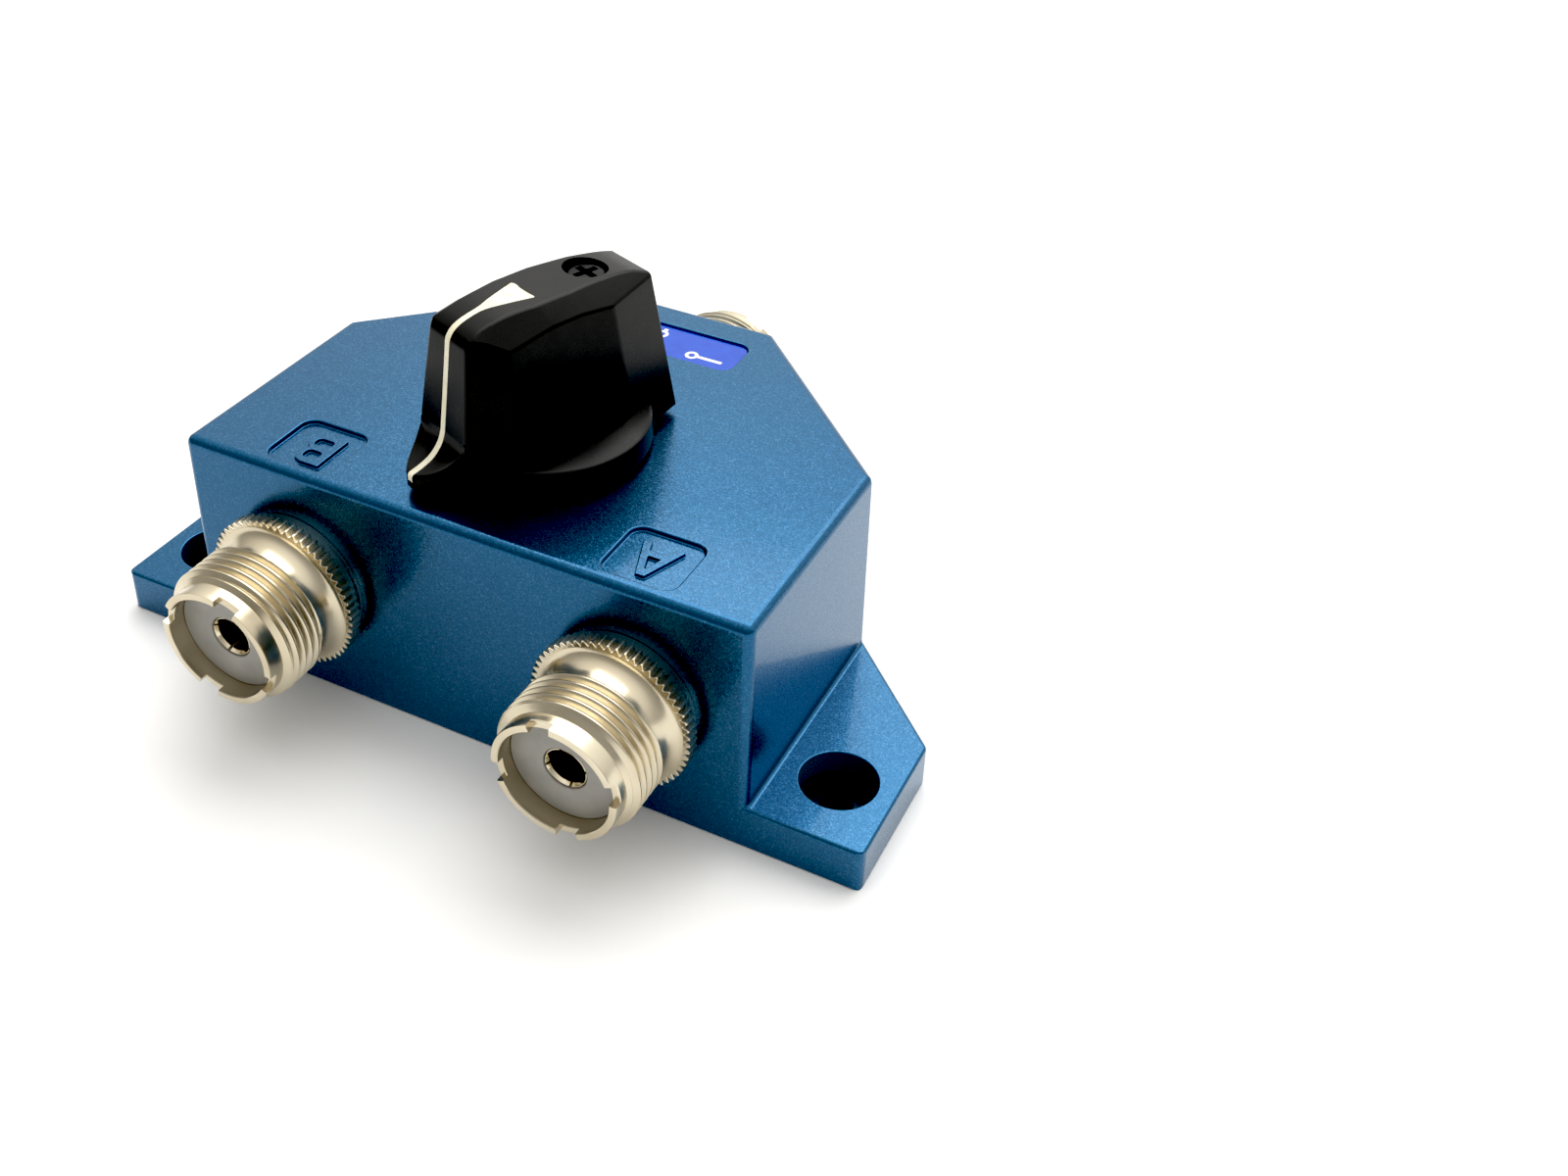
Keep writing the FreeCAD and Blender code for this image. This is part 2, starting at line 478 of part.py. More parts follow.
# arched top, seen from the side: (u, height)
ARCH = [(-15.0, 16.1), (-12.1, 17.12), (-10.6, 17.58), (-9.3, 17.86), (-8.0, 18.06), (-6.7, 18.20), (-4.0, 18.33), (-1.3, 18.36), (1.6, 18.31), (5.0, 18.16),
        (7.1, 17.92), (8.95, 17.54), (9.95, 17.1), (10.65, 16.45), (10.97, 15.75), (11.54, 11.9)]
prof = [(-16.0, 0.0)] + [(-16.0, 15.75)] + ARCH + [(18.5, 11.9), (18.5, 0.0)]
w = Part.makePolygon([V(-12, AXIS_Y - u, BODY_H + z) for u, z in prof] + [V(-12, AXIS_Y - prof[0][0], BODY_H + prof[0][1])])
side = Part.Face(w).extrude(V(24, 0, 0))
knob = walls.common(side)


def plane_cut(shape, p, q, r):
    """Remove what lies above the plane through three (u, w, z) points."""
    P, Q, R = [V(w_, AXIS_Y - u, BODY_H + z) for u, w_, z in (p, q, r)]
    n = (Q - P).cross(R - P)
    n.normalize()
    if n.z < 0:
        n = n * -1
    b = Part.makeBox(80, 80, 30, V(-40, -40, 0))
    b.Placement = FreeCAD.Placement(P, FreeCAD.Rotation(V(0, 0, 1), n)).multiply(b.Placement)
    return shape.cut(b)


BEVELS = [((-6.6, 3.00, 18.21), (-10.6, 2.82, 17.58), (-9.4, 4.29, 16.73)), ((-1.4, 3.45, 18.36), (-6.0, 3.05, 18.25), (-4.57, 5.54, 16.42)),
          ((2.9, 3.42, 18.27), (-1.4, 3.45, 18.36), (0.33, 5.51, 16.66)), ((2.9, 3.42, 18.27), (7.3, 3.08, 17.89), (5.17, 5.58, 16.05)),
          ((7.3, 3.08, 17.89), (9.5, 3.00, 17.32), (8.3, 4.95, 16.2))]
for sg in (1, -1):
    for three in BEVELS:
        knob = plane_cut(knob, *[(u, w * sg, z) for u, w, z in three])

z_s = BODY_H
skirt = revolve([(0, z_s + KNOB_GAP), (SKIRT_R - 0.15, z_s + KNOB_GAP), (SKIRT_R, z_s + KNOB_GAP + 0.2), (SKIRT_R - 0.1, z_s + 3.1), (SKIRT_R - 0.35, z_s + 3.3),
                 (9.8, z_s + 3.65), (7.0, z_s + 4.3), (0, z_s + 4.5)])
skirt.translate(V(0, AXIS_Y, 0))
knob = knob.fuse(skirt)
knob = knob.cut(plate_plan(0.15, BODY_H, BODY_H + 3.1))
knob = knob.cut(cyl(1.6, BODY_H, BODY_H + 16, 0, AXIS_Y - SCREW_U))
knob = knob.cut(cyl(2.4, BODY_H + 15.7, BODY_H + 20, 0, AXIS_Y - SCREW_U))
knob = knob.cut(rounded_prism(-3.0, 3.0, AXIS_Y - 9.2, AXIS_Y - 0.5, 1.0, BODY_H, BODY_H + 14.0))

# pointer inlay: a band under the nose and top profile, widening to an arrowhead
LINE = [(16.76, 1.75), (16.78, 2.2), (16.63, 2.5), (16.30, 2.72), (15.95, 2.84), (14.99, 3.14), (14.21, 3.52), (13.63, 3.98), (13.17, 4.5), (12.81, 5.05),
        (12.56, 5.67), (12.43, 6.1), (12.12, 8.1), (11.54, 11.9), (10.97, 15.75), (10.65, 16.45), (9.95, 17.1), (8.95, 17.54), (7.1, 17.92), (5.0, 18.16), (1.4, 18.31)]
DEEP = 0.45


def beside(line, d):
    """The profile line moved sideways by d, positive inwards."""
    out = []
    for i, (u, z) in enumerate(line):
        a = line[max(i - 1, 0)]
        b = line[min(i + 1, len(line) - 1)]
        du, dz = b[0] - a[0], b[1] - a[1]
        ln = math.hypot(du, dz)
        out.append((u - dz / ln * d, z + du / ln * d))
    return out


band = beside(LINE, -0.6) + list(reversed(beside(LINE, DEEP)))
w = Part.makePolygon([V(-3, AXIS_Y - u, BODY_H + z) for u, z in band] + [V(-3, AXIS_Y - band[0][0], BODY_H + band[0][1])])
band = Part.Face(w).extrude(V(6, 0, 0))
plan = [(18, 0.45), (7.2, 0.45), (6.3, 0.62), (1.75, 2.03), (1.5, 1.2), (1.42, 0.0), (1.5, -1.2), (1.75, -2.03), (6.3, -0.62), (7.2, -0.45), (18, -0.45)]
strip = band.common(poly_prism([kx(u, w_) for u, w_ in plan], BODY_H, BODY_H + 20))
inlay = strip.common(knob)
knob = knob.cut(strip)
export(turn(knob), "knob")
export(turn(inlay), "pointer_inlay")

kz = BODY_H + 15.7
ks = cyl(2.25, kz, kz + 2.0, 0, AXIS_Y - SCREW_U)
ks = ks.makeFillet(0.5, [e for e in ks.Edges if near(e.BoundBox.ZMin, kz + 2.0, 0.01) and near(e.BoundBox.ZMax, kz + 2.0, 0.01)])
ks = ks.fuse(cyl(1.5, BODY_H + 1.1, kz, 0, AXIS_Y - SCREW_U)).removeSplitter()
ks = ks.cut(phillips(0, AXIS_Y - SCREW_U, kz + 2.0, 1.35, 0.38, 1.2))
export(turn(ks), "knob_screw")
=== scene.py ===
import bpy
import bmesh
import math
import numpy as np
from mathutils import Matrix, Vector
from mathutils.bvhtree import BVHTree
from mathutils.geometry import tessellate_polygon


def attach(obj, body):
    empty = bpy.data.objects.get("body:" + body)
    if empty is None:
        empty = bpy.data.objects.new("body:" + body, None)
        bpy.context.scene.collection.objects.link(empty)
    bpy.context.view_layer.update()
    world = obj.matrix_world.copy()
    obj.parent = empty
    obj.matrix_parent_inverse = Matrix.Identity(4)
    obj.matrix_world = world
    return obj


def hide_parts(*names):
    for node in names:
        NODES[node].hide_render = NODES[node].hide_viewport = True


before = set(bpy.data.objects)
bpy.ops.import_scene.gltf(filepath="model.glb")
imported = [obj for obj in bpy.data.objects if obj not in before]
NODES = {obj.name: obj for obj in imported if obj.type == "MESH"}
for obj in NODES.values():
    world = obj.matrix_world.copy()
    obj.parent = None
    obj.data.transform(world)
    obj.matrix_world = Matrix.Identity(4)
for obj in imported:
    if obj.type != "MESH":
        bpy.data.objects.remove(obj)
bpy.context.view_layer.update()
MM = 0.001

# sizes of the part, millimetres
BODY_H, FRONT_Y, SIDE_X, DIAG_SUM, REAR_Y = 28.1, -7.80, 33.75, 54.90, 43.20
DRAFT, DRAFT_DIAG, WALL, ROOF = 0.0249, 0.0350, 2.5, 3.0
EAR_X, EAR_T, HOLE_X, HOLE_R, CBORE_R, CBORE_DEPTH = 47.1, 5.3, 40.8, 1.7, 4.1, 3.6
REBATE, REBATE_DEPTH, COVER_GAP, COVER_T = 1.2, 1.7, 0.12, 1.5
BOSSES = [(28.6, -2.4), (-28.6, -2.4), (28.9, 18.4), (-28.9, 18.4), (9.7, 38.1), (-9.7, 38.1)]
PORT_X, PORT_Z, SEAT_FRONT, SEAT_REAR, SEAT_R, SPIGOT_R = 20.2, 14.2, -7.95, 43.31, 8.8, 6.8
AXIS_Y, POINTER_DEG = 10.5, 21.4
S2 = math.sqrt(0.5)


def outline(off, z, ears=False):
    k = BODY_H - z
    sx = (EAR_X + (EAR_T - z) * DRAFT if ears else SIDE_X + k * DRAFT) - off
    fy = FRONT_Y - k * DRAFT + off
    ry = REAR_Y + k * DRAFT - off
    ds = DIAG_SUM + (k * DRAFT_DIAG - off) / S2
    return [(sx, fy), (sx, ds - sx), (ds - ry, ry), (-(ds - ry), ry), (-sx, ds - sx), (-sx, fy)]


# ------------------------------------------------------------------ mesh tools
class Skin:
    """Points in millimetres and faces. Faces marked flat lead when normals are averaged."""

    def __init__(self):
        self.v, self.f, self.flat = [], [], []

    def pts(self, points):
        i0 = len(self.v)
        self.v.extend([(float(p[0]), float(p[1]), float(p[2])) for p in points])
        return list(range(i0, len(self.v)))

    def face(self, idx, flat=False):
        self.f.append(tuple(idx))
        self.flat.append(1 if flat else 0)

    def strip(self, a, b, closed=True, flat=False):
        n = len(a)
        for i in range(n if closed else n - 1):
            j = (i + 1) % n
            self.face((a[i], a[j], b[j], b[i]), flat)

    def region(self, loops, axes=(0, 1)):
        """A flat region between an outer loop and its holes."""
        poly = [[Vector((self.v[i][axes[0]], self.v[i][axes[1]], 0)) for i in lp] for lp in loops]
        idx = [i for lp in loops for i in lp]
        for t in tessellate_polygon(poly):
            self.face([idx[k] for k in t], True)

    def rings(self, fn, steps):
        """Loops fn(step) joined by strips; gives the first and the last loop."""
        loops = [self.pts(fn(s)) for s in steps]
        for a, b in zip(loops, loops[1:]):
            self.strip(a, b)
        return loops[0], loops[-1]

    def add(self, other, fn=None):
        i0 = len(self.v)
        self.v.extend([fn(p) if fn else p for p in other.v])
        self.f.extend([tuple(i + i0 for i in f) for f in other.f])
        self.flat.extend(other.flat)

    def mapped(self, fn):
        s = Skin()
        s.v, s.f, s.flat = [tuple(fn(p)) for p in self.v], list(self.f), list(self.flat)
        return s


def circ(cx, cy, r, n=96):
    return [(cx + r * math.cos(2 * math.pi * i / n), cy + r * math.sin(2 * math.pi * i / n)) for i in range(n)]


def rrect(x0, x1, y0, y1, r, k=8):
    out = []
    for cx, cy, a0 in ((x1 - r, y1 - r, 0), (x0 + r, y1 - r, 90), (x0 + r, y0 + r, 180), (x1 - r, y0 + r, 270)):
        for i in range(k + 1):
            a = math.radians(a0 + 90.0 * i / k)
            out.append((cx + r * math.cos(a), cy + r * math.sin(a)))
    return out


def area2(p):
    return 0.5 * sum(p[i][0] * p[(i + 1) % len(p)][1] - p[(i + 1) % len(p)][0] * p[i][1] for i in range(len(p)))


def round_poly(p, r, k=4):
    """Corners of a polygon replaced by arcs."""
    out, n = [], len(p)
    for i in range(n):
        a, b, c = Vector(p[i - 1]), Vector(p[i]), Vector(p[(i + 1) % n])
        d1, d2 = (a - b), (c - b)
        l1, l2 = d1.length, d2.length
        d1.normalize(), d2.normalize()
        half = 0.5 * math.acos(max(-0.9999, min(0.9999, d1.dot(d2))))
        t = min(r / math.tan(half), 0.42 * l1, 0.42 * l2)
        p0, p1 = b + d1 * t, b + d2 * t
        for j in range(k + 1):
            s = j / k
            q = p0 * (1 - s) ** 2 + b * 2 * s * (1 - s) + p1 * s * s
            out.append((q.x, q.y))
    return out


def grow(p, d):
    """A closed outline moved outwards by d."""
    sign = 1.0 if area2(p) > 0 else -1.0
    out, n = [], len(p)
    for i in range(n):
        a, b, c = Vector(p[i - 1]), Vector(p[i]), Vector(p[(i + 1) % n])
        e1, e2 = (b - a).normalized(), (c - b).normalized()
        n1, n2 = Vector((e1.y, -e1.x)), Vector((e2.y, -e2.x))
        m = (n1 + n2)
        m = m / max(0.35, 1 + n1.dot(n2))
        out.append((b.x + sign * d * m.x, b.y + sign * d * m.y))
    return out


def edge_in(r, k=4):
    """Rounded edge going down into a recess: (offset, depth) steps."""
    return [(r * (1 - math.sin(math.radians(90.0 * i / k))), r * (1 - math.cos(math.radians(90.0 * i / k)))) for i in range(k + 1)]


def floor_in(r, depth, k=3):
    """Rounded foot of a recess wall: (offset, depth) steps."""
    return [(-r * (1 - math.cos(math.radians(90.0 * i / k))), depth - r * (1 - math.sin(math.radians(90.0 * i / k)))) for i in range(k + 1)]


def set_normals(me, limit=38.0):
    """Corner normals averaged over neighbours within the limit angle; flat faces lead."""
    nf, nl, nv = len(me.polygons), len(me.loops), len(me.vertices)
    fn = np.empty(nf * 3); me.polygons.foreach_get("normal", fn); fn = fn.reshape(-1, 3)
    ar = np.empty(nf); me.polygons.foreach_get("area", ar)
    tot = np.empty(nf, int); me.polygons.foreach_get("loop_total", tot)
    st = np.empty(nf, int); me.polygons.foreach_get("loop_start", st)
    lv = np.empty(nl, int); me.loops.foreach_get("vertex_index", lv)
    co = np.empty(nv * 3); me.vertices.foreach_get("co", co); co = co.reshape(-1, 3)
    flat = np.zeros(nf, int)
    if "flat" in me.attributes:
        me.attributes["flat"].data.foreach_get("value", flat)
    lf = np.repeat(np.arange(nf), tot)
    pos = np.arange(nl) - st[lf]
    nxt = st[lf] + (pos + 1) % tot[lf]
    prv = st[lf] + (pos - 1) % tot[lf]
    a, b = co[lv[nxt]] - co[lv], co[lv[prv]] - co[lv]
    la, lb = np.linalg.norm(a, axis=1), np.linalg.norm(b, axis=1)
    ang = np.arccos(np.clip((a * b).sum(1) / np.maximum(la * lb, 1e-20), -1, 1))
    w = ang * ar[lf] * 1e6 + 1e-9
    w = np.where(flat[lf] == 1, 1e4 * (ang + 1e-4), w)
    order = np.argsort(lv, kind="stable")
    cnt = np.bincount(lv, minlength=nv)
    start = np.concatenate([[0], np.cumsum(cnt)[:-1]])
    k = cnt[lv]
    i_idx = np.repeat(np.arange(nl), k)
    off = np.arange(len(i_idx)) - np.repeat(np.cumsum(k) - k, k)
    j_idx = order[np.repeat(start[lv], k) + off]
    dots = (fn[lf[i_idx]] * fn[lf[j_idx]]).sum(1)
    ok = dots > math.cos(math.radians(limit))
    i_idx, j_idx = i_idx[ok], j_idx[ok]
    acc = np.zeros((nl, 3))
    for c in range(3):
        acc[:, c] = np.bincount(i_idx, weights=w[j_idx] * fn[lf[j_idx], c], minlength=nl)
    acc /= np.maximum(np.linalg.norm(acc, axis=1), 1e-12)[:, None]
    me.normals_split_custom_set([tuple(x) for x in acc])


def orient(bm):
    """Every closed shell of the mesh faces outwards."""
    bmesh.ops.recalc_face_normals(bm, faces=bm.faces)
    bm.faces.ensure_lookup_table()
    seen = set()
    for f0 in bm.faces:
        if f0.index in seen:
            continue
        shell, todo = [], [f0]
        seen.add(f0.index)
        while todo:
            f = todo.pop()
            shell.append(f)
            for e in f.edges:
                for g in e.link_faces:
                    if g.index not in seen:
                        seen.add(g.index)
                        todo.append(g)
        o = shell[0].verts[0].co.copy()
        vol = 0.0
        for f in shell:
            a = f.verts[0].co - o
            for i in range(1, len(f.verts) - 1):
                vol += a.dot((f.verts[i].co - o).cross(f.verts[i + 1].co - o))
        if vol < 0:
            bmesh.ops.reverse_faces(bm, faces=shell)


def mesh_from(name, skin, merge=0.0004):
    me = bpy.data.meshes.new(name)
    me.from_pydata([(x * MM, y * MM, z * MM) for x, y, z in skin.v], [], skin.f)
    at = me.attributes.new("flat", "INT", "FACE")
    at.data.foreach_set("value", np.array(skin.flat, np.int32))
    bm = bmesh.new()
    bm.from_mesh(me)
    if merge:
        bmesh.ops.remove_doubles(bm, verts=bm.verts, dist=merge * MM)
        bmesh.ops.dissolve_degenerate(bm, edges=bm.edges, dist=merge * MM * 0.5)
        loose = [v for v in bm.verts if not v.link_faces]
        bmesh.ops.delete(bm, geom=loose, context="VERTS")
    orient(bm)
    bm.to_mesh(me)
    bm.free()
    return me


def finish_mesh(me, limit=38.0):
    me.polygons.foreach_set("use_smooth", np.ones(len(me.polygons), bool))
    set_normals(me, limit)
    if "flat" in me.attributes:
        me.attributes.remove(me.attributes["flat"])
    me.update()


def place(name, me, mats, body, node=None):
    o = bpy.data.objects.new(name, me)
    bpy.context.scene.collection.objects.link(o)
    for m in mats if isinstance(mats, (list, tuple)) else [mats]:
        me.materials.append(m)
    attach(o, body)
    if node:
        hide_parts(node)
    return o


def put(name, skin, mats, body, node=None, limit=38.0, merge=0.0004):
    me = mesh_from(name, skin, merge)
    finish_mesh(me, limit)
    return place(name, me, mats, body, node)


def temp_object(me):
    o = bpy.data.objects.new("temp", me)
    bpy.context.scene.collection.objects.link(o)
    return o


def evaluated(o):
    bpy.context.view_layer.update()
    dg = bpy.context.evaluated_depsgraph_get()
    me = bpy.data.meshes.new_from_object(o.evaluated_get(dg), preserve_all_data_layers=True, depsgraph=dg)
    return me


def boolean(me, cutters, op="DIFFERENCE"):
    """Boolean of a mesh with closed cutters, one after another."""
    for c in cutters:
        a, b = temp_object(me), temp_object(c)
        m = a.modifiers.new("cut", "BOOLEAN")
        m.operation, m.solver, m.object = op, "MANIFOLD", b
        out = evaluated(a)
        bpy.data.objects.remove(a)
        bpy.data.objects.remove(b)
        me = out
    return me


def revolve(skin, profile, n=96, centre=(0.0, 0.0)):
    """Closed (r, z) profile turned about a vertical axis; points on the axis become one point."""
    loops = []
    for r, z in profile:
        if r < 1e-6:
            loops.append(skin.pts([(centre[0], centre[1], z)]))
        else:
            loops.append(skin.pts([(x, y, z) for x, y in circ(centre[0], centre[1], r, n)]))
    m = len(loops)
    for i in range(m):
        a, b = loops[i], loops[(i + 1) % m]
        if len(a) == 1 and len(b) == 1:
            continue
        if len(a) == 1:
            for k in range(n):
                skin.face((a[0], b[k], b[(k + 1) % n]))
        elif len(b) == 1:
            for k in range(n):
                skin.face((a[k], a[(k + 1) % n], b[0]))
        else:
            skin.strip(a, b)


# ------------------------------------------------------------------ materials
class Nodes:
    """Short hand for a procedural material."""

    def __init__(self, name):
        self.mat = bpy.data.materials.new(name)
        self.mat.use_nodes = True
        self.t = self.mat.node_tree
        self.t.nodes.clear()
        self.out = self.t.nodes.new("ShaderNodeOutputMaterial")
        self.bsdf = self.t.nodes.new("ShaderNodeBsdfPrincipled")
        self.t.links.new(self.bsdf.outputs[0], self.out.inputs[0])
        self.pos = self.t.nodes.new("ShaderNodeTexCoord").outputs["Object"]

    def link(self, a, b):
        self.t.links.new(a, b)

    def set(self, **kw):
        for k, v in kw.items():
            self.bsdf.inputs[k.replace("_", " ")].default_value = v

    def stretch(self, scale):
        n = self.t.nodes.new("ShaderNodeMapping")
        n.inputs["Scale"].default_value = scale
        self.link(self.pos, n.inputs["Vector"])
        return n.outputs[0]

    def noise(self, scale, detail=2.0, rough=0.5, vec=None, dist=0.0):
        n = self.t.nodes.new("ShaderNodeTexNoise")
        n.inputs["Scale"].default_value = scale
        n.inputs["Detail"].default_value = detail
        n.inputs["Roughness"].default_value = rough
        n.inputs["Distortion"].default_value = dist
        self.link(vec or self.pos, n.inputs["Vector"])
        return n.outputs[0]

    def cells(self, scale, out="Color", vec=None, feature="F1"):
        n = self.t.nodes.new("ShaderNodeTexVoronoi")
        n.feature = feature
        n.inputs["Scale"].default_value = scale
        self.link(vec or self.pos, n.inputs["Vector"])
        return n.outputs[out]

    def ramp(self, fac, stops, interp="LINEAR"):
        n = self.t.nodes.new("ShaderNodeValToRGB")
        n.color_ramp.interpolation = interp
        el = n.color_ramp.elements
        while len(el) > 1:
            el.remove(el[-1])
        el[0].position = stops[0][0]
        el[0].color = (*stops[0][1], 1) if len(stops[0][1]) == 3 else stops[0][1]
        for p, c in stops[1:]:
            e = el.new(p)
            e.color = (*c, 1)
        self.link(fac, n.inputs[0])
        return n.outputs[0]

    def spread(self, fac, lo, hi, a=0.0, b=1.0):
        n = self.t.nodes.new("ShaderNodeMapRange")
        n.inputs["From Min"].default_value = a
        n.inputs["From Max"].default_value = b
        n.inputs["To Min"].default_value = lo
        n.inputs["To Max"].default_value = hi
        self.link(fac, n.inputs["Value"])
        return n.outputs[0]

    def mix(self, fac, a, b, kind="MIX"):
        n = self.t.nodes.new("ShaderNodeMix")
        n.data_type = "RGBA"
        n.blend_type = kind
        if isinstance(fac, (int, float)):
            n.inputs[0].default_value = fac
        else:
            self.link(fac, n.inputs[0])
        for sock, v in ((n.inputs[6], a), (n.inputs[7], b)):
            if isinstance(v, tuple):
                sock.default_value = (*v, 1)
            else:
                self.link(v, sock)
        return n.outputs[2]

    def math(self, op, a, b=0.0):
        n = self.t.nodes.new("ShaderNodeMath")
        n.operation = op
        for sock, v in ((n.inputs[0], a), (n.inputs[1], b)):
            if isinstance(v, (int, float)):
                sock.default_value = v
            else:
                self.link(v, sock)
        return n.outputs[0]

    def near_ear_holes(self, inner, outer, y0=0.0):
        """1 within the inner radius of an ear hole's axis, 0 outside the outer one, and the height."""
        n = self.t.nodes.new("ShaderNodeSeparateXYZ")
        self.link(self.pos, n.inputs[0])
        dx = self.math("SUBTRACT", self.math("ABSOLUTE", n.outputs[0]), HOLE_X * MM)
        dy = self.math("SUBTRACT", n.outputs[1], y0)
        r = self.math("SQRT", self.math("ADD", self.math("MULTIPLY", dx, dx), self.math("MULTIPLY", dy, dy)))
        return self.spread(r, 1.0, 0.0, inner, outer), n.outputs[2]

    def bump(self, height, dist, strength=1.0, normal=None):
        n = self.t.nodes.new("ShaderNodeBump")
        n.inputs["Strength"].default_value = strength
        n.inputs["Distance"].default_value = dist
        self.link(height, n.inputs["Height"])
        if normal is not None:
            self.link(normal, n.inputs["Normal"])
        return n.outputs[0]

    def edge(self, lo=0.5, hi=0.6):
        """Convex edges, from how the surface points."""
        g = self.t.nodes.new("ShaderNodeNewGeometry")
        return self.spread(g.outputs["Pointiness"], 0.0, 1.0, lo, hi)


def blue_paint():
    m = Nodes("blue_paint")
    flake = m.cells(7800.0)
    sep = m.t.nodes.new("ShaderNodeSeparateColor")
    m.link(flake, sep.inputs[0])
    broad = m.noise(26.0, 3.0)
    base = m.ramp(sep.outputs[0], [(0.0, (0.014, 0.087, 0.182)), (0.5, (0.018, 0.098, 0.202)), (0.85, (0.025, 0.112, 0.226)), (1.0, (0.050, 0.150, 0.27))])
    tint = m.ramp(broad, [(0.35, (0.93, 0.95, 0.97)), (0.65, (1.0, 1.0, 1.0))])
    # painted shade: the floor of the ear recesses is made near black and dull, with no coat
    near, z = m.near_ear_holes(0.0043, 0.0044)
    low = m.spread(z, 1.0, 0.0, 0.0018, 0.0026)
    painted_shade = m.math("MULTIPLY", m.math("MULTIPLY", near, low), m.math("GREATER_THAN", z, 0.0001))
    # painted sheen: the recess wall above it turns a lighter, barely metallic blue
    painted_sheen = m.math("MULTIPLY", near, m.spread(z, 0.0, 0.85, 0.0018, 0.0026))
    painted_sheen = m.math("MULTIPLY", painted_sheen, m.math("LESS_THAN", z, 0.0051))
    body = m.mix(painted_sheen, m.mix(1.0, base, tint, "MULTIPLY"), (0.05, 0.13, 0.19))
    m.link(m.mix(painted_shade, body, (0.007, 0.018, 0.030)), m.bsdf.inputs["Base Color"])
    m.link(m.spread(painted_shade, 0.3, 0.0), m.bsdf.inputs["Coat Weight"])
    m.link(m.spread(painted_sheen, 0.95, 0.1), m.bsdf.inputs["Metallic"])
    # metal flakes lying a little out of the surface
    vm = m.t.nodes.new("ShaderNodeVectorMath")
    vm.operation = "SUBTRACT"
    m.link(flake, vm.inputs[0])
    vm.inputs[1].default_value = (0.5, 0.5, 0.5)
    sc = m.t.nodes.new("ShaderNodeVectorMath")
    sc.operation = "SCALE"
    m.link(vm.outputs[0], sc.inputs[0])
    sc.inputs["Scale"].default_value = 0.065
    geo = m.t.nodes.new("ShaderNodeNewGeometry")
    ad = m.t.nodes.new("ShaderNodeVectorMath")
    m.link(sc.outputs[0], ad.inputs[0])
    m.link(geo.outputs["Normal"], ad.inputs[1])
    no = m.t.nodes.new("ShaderNodeVectorMath")
    no.operation = "NORMALIZE"
    m.link(ad.outputs[0], no.inputs[0])
    m.link(no.outputs[0], m.bsdf.inputs["Normal"])
    m.link(m.spread(sep.outputs[1], 0.24, 0.30), m.bsdf.inputs["Roughness"])
    m.set(Coat_Roughness=0.09, Coat_IOR=1.5)
    peel = m.bump(m.noise(420.0, 2.0), 0.00004, 0.15)
    m.link(peel, m.bsdf.inputs["Coat Normal"])
    return m.mat


def nickel():
    m = Nodes("nickel")
    fine = m.noise(900.0, 3.0)
    broad = m.noise(120.0, 2.0)
    col = m.ramp(broad, [(0.3, (0.56, 0.49, 0.355)), (0.7, (0.70, 0.63, 0.485))])
    m.link(col, m.bsdf.inputs["Base Color"])
    m.link(m.spread(fine, 0.17, 0.30), m.bsdf.inputs["Roughness"])
    m.set(Metallic=1.0)
    turned = m.noise(900.0, 2.0, vec=m.stretch((0.12, 3.0, 0.12)))
    m.link(m.bump(turned, 0.00002, 0.35), m.bsdf.inputs["Normal"])
    return m.mat


def black_plastic():
    m = Nodes("black_plastic")
    broad = m.noise(90.0, 3.0)
    col = m.ramp(broad, [(0.3, (0.0045, 0.0048, 0.0048)), (0.7, (0.0075, 0.0076, 0.0078))])
    m.link(col, m.bsdf.inputs["Base Color"])
    m.link(m.spread(m.noise(500.0, 3.0), 0.22, 0.34), m.bsdf.inputs["Roughness"])
    m.set(Specular_IOR_Level=0.22)
    m.link(m.bump(m.noise(1500.0, 2.0), 0.00002, 0.12), m.bsdf.inputs["Normal"])
    return m.mat


def cream_paint():
    m = Nodes("cream_paint")
    col = m.ramp(m.noise(700.0, 3.0), [(0.3, (0.86, 0.80, 0.58)), (0.7, (0.93, 0.90, 0.74))])
    m.link(col, m.bsdf.inputs["Base Color"])
    m.link(m.spread(m.noise(900.0), 0.38, 0.52), m.bsdf.inputs["Roughness"])
    m.link(m.bump(m.noise(1800.0, 3.0), 0.00003, 0.25), m.bsdf.inputs["Normal"])
    return m.mat


def insulator_mat():
    m = Nodes("pale_insulator")
    col = m.ramp(m.noise(300.0, 3.0), [(0.3, (0.30, 0.292, 0.268)), (0.7, (0.37, 0.362, 0.335))])
    m.link(col, m.bsdf.inputs["Base Color"])
    m.link(m.spread(m.noise(600.0), 0.36, 0.48), m.bsdf.inputs["Roughness"])
    m.set(Subsurface_Weight=0.25, Subsurface_Scale=0.0012)
    m.link(m.bump(m.noise(1100.0, 2.0), 0.00002, 0.2), m.bsdf.inputs["Normal"])
    return m.mat


def brass_mat(name, a, b, r0, r1):
    m = Nodes(name)
    m.link(m.ramp(m.noise(400.0, 3.0), [(0.3, a), (0.7, b)]), m.bsdf.inputs["Base Color"])
    m.link(m.spread(m.noise(1200.0, 2.0), r0, r1), m.bsdf.inputs["Roughness"])
    m.set(Metallic=1.0)
    m.link(m.bump(m.noise(2400.0, 2.0), 0.00001, 0.3), m.bsdf.inputs["Normal"])
    return m.mat


def plastic_mat(name, a, b, r0=0.4, r1=0.55):
    m = Nodes(name)
    m.link(m.ramp(m.noise(500.0, 3.0), [(0.3, a), (0.7, b)]), m.bsdf.inputs["Base Color"])
    m.link(m.spread(m.noise(800.0, 2.0), r0, r1), m.bsdf.inputs["Roughness"])
    m.link(m.bump(m.noise(2000.0, 2.0), 0.00002, 0.2), m.bsdf.inputs["Normal"])
    return m.mat


